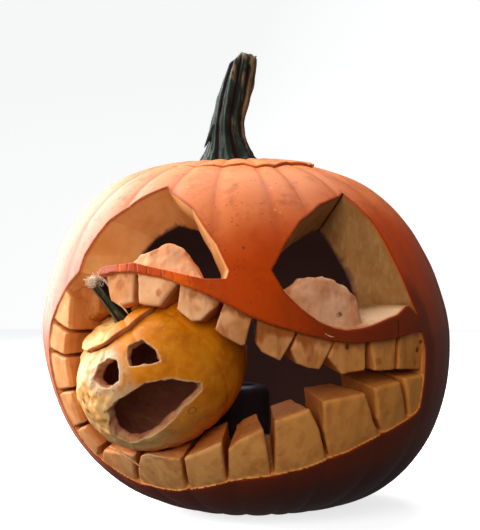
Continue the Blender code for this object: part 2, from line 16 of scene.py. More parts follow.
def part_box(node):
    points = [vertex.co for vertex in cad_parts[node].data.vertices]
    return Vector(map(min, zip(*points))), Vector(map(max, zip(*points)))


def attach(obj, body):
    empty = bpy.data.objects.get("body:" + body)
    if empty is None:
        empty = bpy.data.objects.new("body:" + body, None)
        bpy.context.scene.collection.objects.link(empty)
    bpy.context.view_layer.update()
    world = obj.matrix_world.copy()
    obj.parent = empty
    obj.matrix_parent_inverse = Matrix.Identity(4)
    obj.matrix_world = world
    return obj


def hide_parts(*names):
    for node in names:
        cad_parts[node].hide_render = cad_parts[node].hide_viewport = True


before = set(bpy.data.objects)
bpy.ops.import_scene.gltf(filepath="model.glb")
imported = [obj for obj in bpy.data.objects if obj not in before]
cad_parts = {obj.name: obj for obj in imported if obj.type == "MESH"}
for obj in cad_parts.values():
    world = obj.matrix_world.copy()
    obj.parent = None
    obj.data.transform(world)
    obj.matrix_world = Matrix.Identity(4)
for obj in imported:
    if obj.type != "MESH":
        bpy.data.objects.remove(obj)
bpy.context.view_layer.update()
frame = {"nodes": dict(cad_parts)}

MM = 0.001
print("nodes:", ", ".join(frame["nodes"]))

# %% [markdown]
# ## Shader maths as Python expressions
# A material is a graph of nodes. Wiring Math nodes one by one hides the formula, so a small class
# wraps an output socket and turns `a * b + 1` into the nodes that compute it. Numbers that are the
# same all over a surface are worked out in Python and never reach the graph as nodes. Colours are
# written as they look on paper, 0 to 255, and turned into the linear values that light needs.

# %% Colours, and a socket that can be written in formulas
def tint(red, green, blue):
    def linear(value):
        value /= 255.0
        return value / 12.92 if value <= 0.04045 else ((value + 0.055) / 1.055) ** 2.4
    return (linear(red), linear(green), linear(blue), 1.0)


class Wire:
    """An output socket of a material's node tree, with the arithmetic that the finishes need."""

    def __init__(self, tree, socket):
        self.tree, self.socket = tree, socket

    def node(self, kind, settings=None, out=0, **inputs):
        """Any other node: its settings first, then its sockets by name or by number as _0, _1."""
        made = self.tree.nodes.new(kind)
        for key, value in (settings or {}).items():
            setattr(made, key, value)
        for key, value in inputs.items():
            if key[0] == "_":
                socket = made.inputs[int(key[1:])]
            else:
                socket = next(s for s in made.inputs if s.name.replace(" ", "") == key and s.enabled)
            if isinstance(value, Wire):
                self.tree.links.new(value.socket, socket)
            else:
                socket.default_value = value
        return Wire(self.tree, made.outputs[out])

    def math(self, operation, *values):
        return self.node("ShaderNodeMath", {"operation": operation},
                         **{f"_{i}": value for i, value in enumerate(values)})

    def __add__(self, other):
        return self.math("ADD", self, other)

    def __sub__(self, other):
        return self.math("SUBTRACT", self, other)

    def __rsub__(self, other):
        return self.math("SUBTRACT", other, self)

    def __mul__(self, other):
        return self.math("MULTIPLY", self, other)

    def step(self, low, high, start=0.0, end=1.0):
        """A smooth rise from start to end as this value goes from low to high."""
        return self.node("ShaderNodeMapRange", {"interpolation_type": "SMOOTHSTEP"},
                         _0=self, _1=low, _2=high, _3=start, _4=end)

    def between(self, low, high):
        """The colour low where this value is 0 and the colour high where it is 1."""
        return self.node("ShaderNodeMix", {"data_type": "RGBA"}, out=2, _0=self, _6=low, _7=high)

    def over(self, base, red, green, blue):
        """The colour base with a paint laid over it: none where this value is 0, full where it is 1."""
        return self.between(base, tint(red, green, blue))

    def blend(self, low, high):
        """From one paint to another as this value goes from 0 to 1."""
        return self.between(tint(*low), tint(*high))

    def mixed(self, low, high):
        """The number low where this value is 0 and high where it is 1."""
        return self * (high - low) + low

    def stretch(self, x, y, z):
        """A vector scaled along each of its axes."""
        return self.node("ShaderNodeVectorMath", {"operation": "MULTIPLY"}, _0=self, _1=(x, y, z))

    def axis(self, number):
        """One number of a vector: 0 for x, 1 for y and 2 for z."""
        return self.node("ShaderNodeSeparateXYZ", out=number, _0=self)

    def away_from(self, point):
        """Distance from this place to a point that is given in millimetres."""
        return self.node("ShaderNodeVectorMath", {"operation": "DISTANCE"}, out=1, _0=self,
                         _1=tuple(np.array(point) * MM))

    def noise(self, size, detail=3.0, roughness=0.5):
        """Cloudy noise about 0.5, of spots that are size millimetres across, at this vector."""
        return self.node("ShaderNodeTexNoise", _2=1.0 / (size * MM), _3=detail, _4=roughness,
                         Vector=self)

    def cells(self, size):
        """Distance to the nearest point of a scatter that is size millimetres apart."""
        return self.node("ShaderNodeTexVoronoi", {"feature": "F1"}, Vector=self,
                         Scale=1.0 / (size * MM), Randomness=1.0)


class Finish:
    """A material under construction: its Principled shader and the wires that feed it."""

    def __init__(self, name):
        self.material = bpy.data.materials.new(name)
        self.material.use_nodes = True
        self.tree = self.material.node_tree
        self.shader = self.tree.nodes["Principled BSDF"]
        coordinates = self.tree.nodes.new("ShaderNodeTexCoord")
        self.place = Wire(self.tree, coordinates.outputs["Object"])

    def layer(self, name):
        """A number that the mesh carries at each of its points."""
        node = self.tree.nodes.new("ShaderNodeAttribute")
        node.attribute_name = name
        return Wire(self.tree, node.outputs["Fac"])

    def set(self, **inputs):
        """Fill sockets of the shader by name. Underscores stand for spaces."""
        for key, value in inputs.items():
            socket = self.shader.inputs[key.replace("_", " ")]
            if isinstance(value, Wire):
                self.tree.links.new(value.socket, socket)
            else:
                socket.default_value = value

    def bump(self, height, distance):
        """Raise the surface by up to distance millimetres where height is 1."""
        node = self.tree.nodes.new("ShaderNodeBump")
        node.inputs["Strength"].default_value = 1.0
        node.inputs["Distance"].default_value = distance * MM
        self.tree.links.new(height.socket, node.inputs["Height"])
        self.tree.links.new(node.outputs["Normal"], self.shader.inputs["Normal"])


print("shader helpers ready")

# %% [markdown]
# ## Shapes as fields
# Cut fruit is hard to draw with polygons: every cut meets the next one at a slightly rounded,
# slightly wobbly edge. A signed distance field does it well. It is a function that says, for any
# point, how far that point is from the surface: below zero inside, above zero outside. Two fields
# join with a smooth minimum and cut each other with a smooth maximum. All of these functions work
# on whole arrays of points at once, in millimetres.

# %% Field helpers
LATTICE_SIZE = 32
LATTICE = np.random.default_rng(11).uniform(-1.0, 1.0, (LATTICE_SIZE,) * 3).astype(np.float32)
ENDLESS = 1e12                 # more than any squared distance
LEVEL = 1e-6                   # a rise too small to divide by


def lumps(points, size, shift=0.0):
    """Smooth noise between -1 and 1, with bumps about `size` across."""
    scaled = points / size + shift
    base = np.floor(scaled).astype(np.int32)
    part = scaled - base
    part = part * part * (3.0 - 2.0 * part)
    total = np.zeros(len(points), np.float32)
    for i in (0, 1):
        for j in (0, 1):
            for k in (0, 1):
                corner = (base + (i, j, k)) % LATTICE_SIZE
                weight = np.ones(len(points), np.float32)
                for axis, side in enumerate((i, j, k)):
                    weight *= part[:, axis] if side else 1.0 - part[:, axis]
                total += weight * LATTICE[corner[:, 0], corner[:, 1], corner[:, 2]]
    return total


def joined(a, b, blend):
    """Smooth union of two fields, rounded over `blend` millimetres."""
    share = np.clip(0.5 + 0.5 * (b - a) / blend, 0.0, 1.0)
    return b * (1.0 - share) + a * share - blend * share * (1.0 - share)


def shared(a, b, blend):
    """Smooth intersection. shared(a, -b, blend) cuts b out of a."""
    return -joined(-a, -b, blend)


def flat_distance(u, v, corners):
    """Signed distance in a flat chart to a closed outline."""
    nearest = np.full(u.shape, ENDLESS, np.float32)
    inside = np.zeros(u.shape, bool)
    for (x0, y0), (x1, y1) in zip(corners, np.roll(corners, -1, axis=0)):
        run, rise = x1 - x0, y1 - y0
        share = np.clip(((u - x0) * run + (v - y0) * rise) / (run * run + rise * rise), 0.0, 1.0)
        nearest = np.minimum(nearest, (u - x0 - share * run) ** 2 + (v - y0 - share * rise) ** 2)
        if y0 != y1:
            inside ^= ((y0 > v) != (y1 > v)) & (u < run * (v - y0) / rise + x0)
    return np.where(inside, -1.0, 1.0) * np.sqrt(nearest)


def morphed_distance(u, v, outer, deep, share):
    """Signed distance to an outline that turns from `outer` into `deep` as share goes from 0 to 1."""
    corners = [a[:, None] * (1.0 - share) + b[:, None] * share for a, b in zip(outer, deep)]
    nearest = np.full(u.shape, ENDLESS, np.float32)
    inside = np.zeros(u.shape, bool)
    for (x0, y0), (x1, y1) in zip(corners, corners[1:] + corners[:1]):
        run, rise = x1 - x0, y1 - y0
        along = ((u - x0) * run + (v - y0) * rise) / (run * run + rise * rise + LEVEL)
        along = np.clip(along, 0.0, 1.0)
        nearest = np.minimum(nearest, (u - x0 - along * run) ** 2 + (v - y0 - along * rise) ** 2)
        level = np.where(np.abs(rise) < LEVEL, LEVEL, rise)
        inside ^= ((y0 > v) != (y1 > v)) & (u < run * (v - y0) / level + x0)
    return np.where(inside, -1.0, 1.0) * np.sqrt(nearest)


def smooth_step(value, low, high):
    """A smooth rise from 0 to 1 as value goes from low to high, or a fall if low is the larger."""
    share = np.clip((value - low) / (high - low), 0.0, 1.0)
    return share * share * (3.0 - 2.0 * share)


print("lattice noise of", LATTICE.size, "values")

# %% [markdown]
# ## A gourd
# A pumpkin is a body of revolution with a flattened crown and foot, so each half of its profile is
# a superellipse. Points are found again by looking at them from its core: the turn about the axis,
# the height at which that line of sight leaves the skin, and the depth under the skin. Knives that
# carve a pumpkin point roughly at its core, so cuts are flat outlines in turn and height.

# %% The gourd class
class Gourd:
    """A flattened globe about an axis that leans by `lean` to the right for each step up."""

    PROFILE_POINTS = 400

    def __init__(self, radius, waist, rise, drop, top_powers, foot_powers, lean=0.0):
        self.radius, self.waist, self.lean = radius, waist, lean
        angle = np.linspace(0.0, 0.5 * math.pi, self.PROFILE_POINTS)
        halves = []
        for span, (across, up) in ((-drop, foot_powers), (rise, top_powers)):
            halves.append((radius * np.cos(angle).clip(0.0) ** (2.0 / across),
                           span * np.sin(angle) ** (2.0 / up)))
        out = np.concatenate([halves[0][0][::-1], halves[1][0][1:]])
        up = np.concatenate([halves[0][1][::-1], halves[1][1][1:]])
        steps = np.hypot(np.diff(out), np.diff(up))
        self.out, self.height = out, up + waist
        self.polar, self.reach = np.arctan2(up, out), np.hypot(up, out)
        self.along = np.concatenate([[0.0], np.cumsum(steps)])
        self.along -= np.interp(waist, self.height, self.along)
        slope = np.gradient(self.reach, self.polar) / self.reach
        self.facing = 1.0 / np.sqrt(1.0 + slope ** 2)

    def look(self, points):
        """How points are seen from the core.

        Turn in degrees and height on the skin, depth under it, the place u, v in the flat chart,
        how squarely the skin faces the core, and how much a cut narrows towards the core.
        """
        x = points[:, 0] - self.lean * (points[:, 2] - self.waist)
        y, z = points[:, 1], points[:, 2] - self.waist
        across = np.hypot(x, y)
        polar = np.arctan2(z, across)
        reach = np.interp(polar, self.polar, self.reach)
        turn = np.degrees(np.arctan2(x, -y))
        return {
            "turn": turn,
            "height": self.waist + reach * np.sin(polar),
            "depth": reach - np.hypot(across, z),
            "u": np.radians(turn) * self.radius,
            "v": np.interp(polar, self.polar, self.along),
            "facing": np.interp(polar, self.polar, self.facing),
            "shrink": np.hypot(across, z) / reach,
        }

    def on_skin(self, turn, height):
        """Points in space from turns and heights."""
        turn, height = np.radians(np.asarray(turn, float)), np.asarray(height, float)
        out = np.interp(height, self.height, self.out)
        x = out * np.sin(turn) + self.lean * (height - self.waist)
        return np.stack([x, -out * np.cos(turn), height], axis=-1)

    def chart(self, turn, height):
        """Flat millimetres: along the waist, and along the meridian."""
        return (np.radians(np.asarray(turn, float)) * self.radius,
                np.interp(np.asarray(height, float), self.height, self.along))

    def outline(self, rows):
        """An outline of (turn, height) rows as corners in the chart."""
        turn, height = np.array(rows, float).T
        return np.stack(self.chart(turn, height), axis=1)


def outside(look):
    """Distance outside the smooth skin of a gourd, from what its look() found."""
    return -look["depth"] * look["facing"]


BODY = Gourd(160.0, 139.0, 133.0, 140.5, (3.28, 1.68), (2.97, 2.05), -0.061)
HOLLOW = Gourd(114.0, 137.0, 101.0, 107.0, (2.6, 2.2), (2.6, 2.2), -0.061)
print("skin reach at the waist", round(float(np.interp(0.0, BODY.polar, BODY.reach)), 1), "mm")

# %% [markdown]
# ## From a field to a mesh
# The field is sampled on a lattice and a vertex is put in every cell that the surface passes
# through, at the mean of its crossings: this is the surface-net method. Most of the box is far
# from any surface, so a coarse lattice is read first and only the blocks near the surface are
# sampled finely. A step along the gradient then puts each vertex on the true surface.

# %% Surface nets
BLOCKS_AT_ONCE = 4000          # keeps the arrays of one pass small enough for the memory


def sample(field, low, high, voxel, block=4, reach=1.5):
    """Field values on a lattice, exact near the surface and rough elsewhere."""
    counts = np.ceil((high - low) / (voxel * block)).astype(int)
    centres = np.stack(np.meshgrid(*[np.arange(n) for n in counts], indexing="ij"), -1)
    centres = centres.reshape(-1, 3)
    half = 0.5 * (block - 1)
    rough = field((low + (centres * block + half) * voxel).astype(np.float32))
    near = np.abs(rough) < reach * math.sqrt(3.0) * (half + 1.0) * voxel
    values = np.repeat(rough, block ** 3).reshape(-1, block ** 3).astype(np.float32)
    offsets = np.stack(np.meshgrid(*[np.arange(block)] * 3, indexing="ij"), -1).reshape(-1, 3)
    chosen = centres[near]
    fine = []
    for start in range(0, len(chosen), BLOCKS_AT_ONCE):
        index = (chosen[start:start + BLOCKS_AT_ONCE, None, :] * block + offsets[None]).reshape(-1, 3)
        fine.append(field((low + index * voxel).astype(np.float32)))
    values[near] = np.concatenate(fine).reshape(-1, block ** 3)
    grid = values.reshape(*counts, block, block, block).transpose(0, 3, 1, 4, 2, 5)
    return grid.reshape(*(counts * block))


def surface_net(values, low, voxel):
    """Vertices and quads of the zero surface of a lattice of values."""
    inside = values < 0.0
    cells = tuple(n - 1 for n in values.shape)
    count = np.zeros(cells, np.int8)
    corners = [(i, j, k) for i in (0, 1) for j in (0, 1) for k in (0, 1)]
    for i, j, k in corners:
        count += inside[i:i + cells[0], j:j + cells[1], k:k + cells[2]]
    where = np.argwhere((count > 0) & (count < 8))
    number = np.full(cells, -1, np.int32)
    number[tuple(where.T)] = np.arange(len(where))
    at_corner = {c: values[tuple((where + c).T)] for c in corners}
    total = np.zeros((len(where), 3))
    crossings = np.zeros(len(where))
    for a in corners:
        for axis in range(3):
            if a[axis]:
                continue
            b = tuple(1 if n == axis else a[n] for n in range(3))
            va, vb = at_corner[a], at_corner[b]
            cut = (va < 0.0) != (vb < 0.0)
            share = np.where(cut, va / np.where(cut, va - vb, 1.0), 0.0)
            point = np.tile(np.array(a, float), (len(where), 1))
            point[:, axis] += share
            total[cut] += point[cut]
            crossings += cut
    vertices = low + (where + total / crossings[:, None]) * voxel
    quads = []
    for axis in range(3):
        b, c = (axis + 1) % 3, (axis + 2) % 3
        lower = [slice(1, n - 1) for n in values.shape]
        upper = list(lower)
        lower[axis], upper[axis] = slice(0, -1), slice(1, None)
        first, second = inside[tuple(lower)], inside[tuple(upper)]
        for rising in (True, False):
            edges = np.argwhere(first & ~second if rising else ~first & second)
            edges += [0 if n == axis else 1 for n in range(3)]
            ring = []
            for db, dc in ((0, 0), (1, 0), (1, 1), (0, 1)):
                cell = edges.copy()
                cell[:, b] -= 1 - db
                cell[:, c] -= 1 - dc
                ring.append(number[tuple(cell.T)])
            quads.append(np.stack(ring if rising else ring[::-1], axis=1))
    return vertices, np.concatenate(quads)


def gradient(field, points, reach=0.25):
    """The slope of a field at each point, read over twice `reach` along each axis."""
    slopes = []
    for axis in range(3):
        step = np.zeros(3, np.float32)
        step[axis] = reach
        slopes.append(field(points + step) - field(points - step))
    slopes = np.stack(slopes, axis=1) / (2.0 * reach)
    return slopes


def settle(field, points, most):
    """Move points along the gradient onto the surface, each by no more than `most`."""
    slopes = gradient(field, points)
    size = np.maximum((slopes ** 2).sum(1), 0.25)
    move = slopes * (-field(points) / size)[:, None]
    length = np.linalg.norm(move, axis=1, keepdims=True)
    return points + move * np.minimum(1.0, most / np.maximum(length, 1e-9))


def put(name, data, place=(0.0, 0.0, 0.0)):
    """An object in the scene, at a place in metres."""
    thing = bpy.data.objects.new(name, data)
    bpy.context.scene.collection.objects.link(thing)
    thing.location = place
    return thing


def new_piece(name, vertices, faces, node=None):
    """A mesh object from arrays in millimetres, riding on the one body."""
    mesh = bpy.data.meshes.new(name)
    mesh.from_pydata(np.asarray(vertices) * MM, [], np.asarray(faces).tolist()
                     if isinstance(faces, np.ndarray) else faces)
    mesh.validate()
    mesh.shade_smooth()
    piece = put(name, mesh)
    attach(piece, "root")
    if node:
        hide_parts(node)
    return piece


def thin_out(piece, triangles):
    """Collapse edges where the surface is smooth until the mesh has so many triangles left."""
    now = sum(len(p.vertices) - 2 for p in piece.data.polygons)
    if now > triangles:
        modifier = piece.modifiers.new("thin", 'DECIMATE')
        modifier.ratio = triangles / now
        apply_modifiers(piece)
    return now


def apply_modifiers(piece):
    """Put the result of a piece's modifiers in the place of its mesh."""
    graph = bpy.context.evaluated_depsgraph_get()
    mesh = bpy.data.meshes.new_from_object(piece.evaluated_get(graph))
    old, piece.data = piece.data, mesh
    mesh.name = old.name
    bpy.data.meshes.remove(old)
    piece.modifiers.clear()


def points_of(piece):
    """The points of a mesh in millimetres."""
    flat = np.empty(len(piece.data.vertices) * 3, np.float32)
    piece.data.vertices.foreach_get("co", flat)
    return flat.reshape(-1, 3) / MM


def carry(piece, name, values):
    """Store one number at each point of a mesh, for its material to read."""
    layer = piece.data.attributes.new(name, "FLOAT", "POINT")
    layer.data.foreach_set("value", np.asarray(values, np.float32))


def shade_by_field(piece, field, reach=0.5):
    """Vertex normals straight from the field, so that thinning leaves no facets in the gloss."""
    slopes = gradient(field, points_of(piece), reach)
    slopes /= np.maximum(np.linalg.norm(slopes, axis=1, keepdims=True), 1e-9)
    piece.data.normals_split_custom_set_from_vertices(slopes.tolist())


def box_of(corners, margin):
    """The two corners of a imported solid's box in millimetres, moved outwards by a margin."""
    low, high = (np.array(corner) / MM for corner in corners)
    return low - margin, high + margin


def grow(name, layers, box, voxel, triangles, node=None):
    """The whole way from a function that returns the field "shape" to a finished piece."""
    def field(points):
        return layers(points)["shape"]

    low, high = (np.array(corner, float) for corner in box)
    voxel = voxel
    values = sample(field, low, high, voxel)
    vertices, quads = surface_net(values, low, voxel)
    vertices = settle(field, vertices.astype(np.float32), 0.5 * voxel)
    piece = new_piece(name, vertices, quads, node)
    before = thin_out(piece, triangles)
    shade_by_field(piece, field)
    print(name, before, "triangles, kept", len(piece.data.loop_triangles) or len(piece.data.polygons))
    return piece

# %% [markdown]
# ## The carving of the big pumpkin
# The outlines below are the same cuts as in the solids: turns in degrees from the middle of the
# face, positive to the viewer's right, and heights in millimetres on the skin. An eye has a second
# outline where its knife breaks into the hollow, because its walls are bevelled.

# %% Eye outlines
# (turn, height) on the skin, then (turn, height) on the wall of the hollow
LEFT_EYE = [
    (-28, 248, -36, 219), (-15, 230, -22, 216), (-7, 205, -13.5, 200),
    (-3.7, 187, -9, 184), (-4.5, 181.5, -9, 176), (-10.5, 181.5, -11, 174),
    (-20, 187, -20, 176), (-31, 192.5, -31, 180), (-41, 190.5, -41, 180.5),
    (-43.4, 187.8, -43.4, 179), (-52, 184, -49, 178), (-51.5, 197.5, -48, 196),
    (-49, 209, -47, 203), (-45.5, 223, -45.5, 210), (-37, 239, -42, 214),
]
RIGHT_EYE = [
    (43, 244, 46, 216), (47.5, 222, 45, 205), (48.5, 196, 45, 190),
    (49.8, 174, 46.5, 171), (50.7, 163, 46.9, 164), (52.3, 153, 47, 162.5),
    (48.6, 161.5, 47, 161.5), (47, 161, 47, 161), (43.1, 155.2, 43, 160),
    (37.7, 151.3, 38.5, 159.3), (33.5, 148.1, 35, 158.6), (30, 146.2, 32, 157.8),
    (25.8, 145.1, 27, 157), (22.5, 146.7, 24, 157), (18.6, 151.3, 19.5, 158.5),
    (14, 161.3, 15.5, 163.5), (10.4, 172, 11, 170), (7.6, 187, 8, 178),
    (12.2, 204.7, 14, 196), (18.4, 221, 24, 206), (28, 234, 36, 213),
]
# flesh left standing in each eye, with how deep under the skin it starts and how round it is
LUMPS = [
    ([(-11, 177), (-12.6, 188), (-15.4, 200), (-18, 207), (-20.8, 209.5), (-24.6, 209),
      (-28, 205), (-31.5, 201), (-33.8, 194.5), (-33, 188), (-20, 182.5)], 6, 3.5),
    ([(8.4, 174), (10.5, 176), (13, 179), (15.2, 183.5), (18.5, 186), (22.5, 185.5),
      (26, 182.5), (29.6, 177), (32, 169), (32.8, 158), (33, 149), (30.5, 142.5),
      (22, 141.5), (15, 150), (11, 162)], 6, 5),
]
print(len(LEFT_EYE) + len(RIGHT_EYE), "eye corners")

# %% [markdown]
# The mouth is one long opening, and every tooth is a separate block of flesh left or pushed into it.
# Teeth are listed from the viewer's left to the right, each as its own outline, because no two were
# cut alike. Their fronts are peeled, so they lie a little under the skin.

# %% Mouth and teeth
# (turn, lowest height, highest height) of the opening in the skin
MOUTH = [
    (-72.5, 88, 104), (-71, 74, 122), (-69, 63, 135), (-66, 53, 148),
    (-61.7, 45, 162), (-57.5, 39, 168), (-53, 34, 169), (-47, 29, 169.5),
    (-43.6, 28.5, 169.5), (-43.3, 28.4, 183), (-37, 27, 185.5), (-31, 27, 186),
    (-24, 29, 183), (-19.5, 31, 180.5), (-12.6, 35, 173.5), (-6, 38.5, 166),
    (1, 41, 155.5), (8, 43, 148), (14, 47, 143.5), (21, 53, 138.5),
    (28, 58.5, 136.2), (37.5, 68, 137.5), (44, 74, 140), (49.5, 79.5, 142.5),
    (52.5, 82.5, 142), (54.2, 86, 130),
]
# the hollow scooped where the left eye runs into the mouth, and its depth
SCOOP = [(-63, 157), (-61.5, 163.5), (-57.4, 176.3), (-51.8, 186), (-43.3, 190),
         (-43.3, 160), (-52, 157)]
SCOOP_DEPTH = 26.0
UPPER_TEETH = [
    [(-42.5, 189.5), (-31.4, 189.8), (-30.6, 165), (-35, 161.8), (-38.5, 166)],
    [(-30.5, 188.5), (-18.2, 183.5), (-18.3, 178), (-22.5, 162.3), (-29.2, 164.3)],
    [(-17, 181), (-5.8, 169), (-7, 163.5), (-11.8, 152.5), (-13.8, 152), (-18, 160.5)],
    [(-5, 168), (2.2, 157), (1.2, 152.5), (-0.6, 136), (-1.5, 135), (-5.8, 141),
     (-8.2, 146.5)],
    [(2.9, 156), (12.8, 147.5), (12.5, 143.3), (8, 124.5), (3.6, 130.8), (2.2, 137)],
    [(13.7, 148), (23, 141.5), (22.7, 137.2), (18.3, 118.2), (15.3, 118.8), (12.4, 122.3),
     (10.9, 132.5)],
    [(23.9, 141.5), (32.5, 141), (32.2, 136.5), (31.8, 116.3), (24.8, 114.5), (20.6, 126.5)],
    [(33.3, 142), (43.2, 143), (42.9, 138), (42.3, 115.3), (34.9, 116)],
    [(44.3, 144), (57, 147), (57, 113), (43.2, 115.2)],
]
LOWER_TEETH = [
    [(-70.5, 153.5), (-65, 168), (-59.5, 174), (-55.5, 167), (-54.8, 143.5)],
    [(-75, 129.5), (-72, 151), (-57, 140.5), (-58.8, 124.5)],
    [(-78, 93), (-76.5, 126), (-58.9, 121.5), (-59.5, 99.5)],
    [(-76.5, 63.5), (-78, 90), (-59.5, 96.5), (-59.5, 72.5)],
    [(-67.5, 40.5), (-78, 60.5), (-59, 70), (-56.2, 55.5)],
    [(-50.5, 25), (-66, 38.5), (-54.5, 53), (-39.2, 53), (-48.6, 30)],
    [(-26, 25), (-47, 25), (-47.2, 30.5), (-37, 53), (-22.6, 53), (-25.6, 31)],
    [(-9.4, 33.5), (-24.2, 25.5), (-24, 31), (-21.5, 53.5), (-16.3, 59), (-8.9, 67), (-9.6, 40)],
    [(5.1, 37), (-8.4, 33.5), (-8.6, 40), (-7.4, 61.5), (-4, 69), (2.8, 77), (5, 43)],
    [(22.2, 47), (6.3, 37), (6.2, 43), (6, 82.5), (15.4, 91), (18.6, 75), (21.8, 52.5)],
    [(39.6, 61.5), (23.4, 47), (23, 52.5), (20, 75), (18.8, 96), (31.5, 100.5),
     (35.3, 80), (38.9, 68)],
    [(50.2, 71), (40.8, 62.5), (40.3, 68.5), (36.9, 81), (34.5, 103.3), (44, 107.5),
     (49.8, 77.5)],
    [(59, 82), (51.2, 73), (50.9, 78.5), (45.3, 109), (58, 111.3)],
]
# two stubs that hang from the scooped wall, further in
STUB_TEETH = [
    [(-65, 180), (-57, 180), (-55.8, 161), (-58.5, 156.5), (-62, 164)],
    [(-59.5, 181), (-49.8, 180), (-49.9, 158.5), (-53.6, 152.5), (-57.4, 157)],
]
PEEL = (3.2, 1.3)              # the peeled fronts of upper and lower teeth lie this deep under the skin
STUB_FRONTS = (12.0, 17.0)     # and the fronts of the two stubs this deep
LAST_SHARP_TOOTH = 6           # the lower teeth after this one have rounder corners
# how much these lower teeth sink and narrow for each millimetre further in
BACK_OF_TEETH = {6: (0.15, 0.02), 7: (0.2, 0.04), 8: (0.2, 0.06), 9: (0.2, 0.06), 10: (0.1, 0.04)}
WALL = 46.0                    # usual thickness of rind and flesh together
print(len(UPPER_TEETH) + len(LOWER_TEETH) + len(STUB_TEETH), "teeth")

# %% [markdown]
# The rind of this pumpkin has shallow ribs that are not evenly spaced: the grooves between them are
# deepest on the shoulder and fade towards the waist. A list of groove turns gives each point its
# share of the way across its rib.

# %% Ribs and the skin
GROOVES = np.array([-172.0, -151.0, -133.0, -112.0, -95.0, -76.0, -58.0, -41.0, -25.0, -8.0, 11.0,
                    22.0, 40.0, 56.0, 75.0, 92.0, 111.0, 130.0, 148.0, 168.0])


def rib_share(turn):
    """0 in a groove and 0.5 on the crest between two grooves."""
    edges = np.concatenate([[GROOVES[-1] - 360.0], GROOVES, [GROOVES[0] + 360.0]])
    place = np.interp(turn, edges, np.arange(len(edges)))
    return place - np.floor(place)


def skin_field(points, look):
    """Distance above the ribbed skin, below zero inside."""
    groove = (1.0 - np.sin(math.pi * rib_share(look["turn"]))) ** 1.3
    height = look["height"]
    shoulder = smooth_step(height, 195.0, 250.0) * (1.0 - smooth_step(height, 262.0, 272.0) * 0.4)
    rib_depth = 0.7 + 0.8 * shoulder + 0.5 * smooth_step(height, 90.0, 20.0)
    rib_depth = rib_depth + 0.5 * smooth_step(look["turn"], 40.0, 70.0)
    uneven = 1.1 * lumps(points, 70.0, 3.1) + 0.22 * lumps(points, 17.0, 8.0)
    return outside(look) + rib_depth * groove - 0.3 + uneven


def hollow_outline(rows):
    """Corners on the hollow's wall, carried outwards from the core into the skin's chart."""
    turn, height = np.array(rows, float).T
    look = BODY.look(HOLLOW.on_skin(turn, height))
    return np.stack([look["u"], look["v"]], axis=1)


EYES = []
for rows in (LEFT_EYE, RIGHT_EYE):
    EYES.append((BODY.outline([row[:2] for row in rows]), hollow_outline([row[2:] for row in rows])))
MOUTH_OUTLINE = BODY.outline([(turn, low) for turn, low, high in MOUTH]
                             + [(turn, high) for turn, low, high in MOUTH[::-1]])
print("mouth width in the chart", round(float(np.ptp(MOUTH_OUTLINE[:, 0]))), "mm")

# %% [markdown]
# The small pumpkin is wedged between the teeth, lying on its back, and has pressed a seat for itself
# into them. Its place is set before the big pumpkin is grown, so that the same numbers cut the seat
# and put the small pumpkin in it.

# %% The small pumpkin's place
SMALL_CENTRE = (-61.9, -92.0, 115.3)
SMALL_TURN = Matrix.Rotation(math.radians(-35.5), 3, 'Y') @ Matrix.Rotation(math.radians(10.0), 3, 'X')
SMALL = Gourd(64.3, 0.0, 54.6, 54.6, (2.1, 2.1), (2.1, 2.1))


def into_small(points):
    """Points seen from the small pumpkin's own upright frame."""
    return (points - np.array(SMALL_CENTRE, np.float32)) @ np.array(SMALL_TURN, np.float32)


def out_of_small(points):
    """Points of the small pumpkin's own frame, seen from the whole."""
    return points @ np.array(SMALL_TURN).T + np.array(SMALL_CENTRE)


# %% [markdown]
# The lid is sawn out with a zigzag, slanting inwards so that it cannot fall in. The same slanted
# oval cone cuts the hole and, a hair smaller, the lid.

# %% The lid's saw cut
LID_WIDTH, LID_LENGTH, LID_SHIFT, LID_SEAM = 60.0, 68.0, -8.0, 267.0
LID_RADIUS = 64.0              # of a round lid as large as this oval one
LID_ZIGZAGS, LID_ZIGZAG, LID_TAPER = 9, 2.0, 0.5
# the cut as sawn along the front: degrees round the lid, millimetres outwards
LID_FRONT = np.array([(-80, 1.5), (-60, 0), (-35, 0.5), (-12, 0), (-2, -1.5), (6, -5.5),
                      (14.8, 3), (30, 2), (40, -2.5), (49, -6), (58, 0.5), (68, 3.5),
                      (80, -1)])


def saw_cut(points, gap):
    """Distance outside the slanted zigzag cut round the lid."""
    x = (points[:, 0] - BODY.lean * (LID_SEAM - BODY.waist)) / LID_WIDTH
    y = (points[:, 1] - LID_SHIFT) / LID_LENGTH
    angle = np.arctan2(x, -y)
    wave = np.arcsin(np.sin(LID_ZIGZAGS * angle) * 0.98) * 2.0 / math.pi * LID_ZIGZAG
    turn = np.degrees(angle)
    front_turn, front_wave = LID_FRONT.T
    wave = np.where(np.abs(turn) < front_turn[-1], np.interp(turn, front_turn, front_wave), wave)
    wobble = 0.7 * lumps(points, 11.0, 2.2)
    out = (np.hypot(x, y) - 1.0) * LID_RADIUS - wave - wobble
    return (out - LID_TAPER * (points[:, 2] - LID_SEAM) - gap) / math.hypot(1.0, LID_TAPER)


# %% [markdown]
# Now the whole shell: skin, minus hollow, minus the cuts, plus the teeth and the lumps of flesh. A
# tooth is a flat outline in the chart that runs from just under the skin to the hollow, so all of
# its sides point at the core, just as the knife went. The big lower teeth also sink and narrow on
# their way in. Every tooth gets its own small errors.

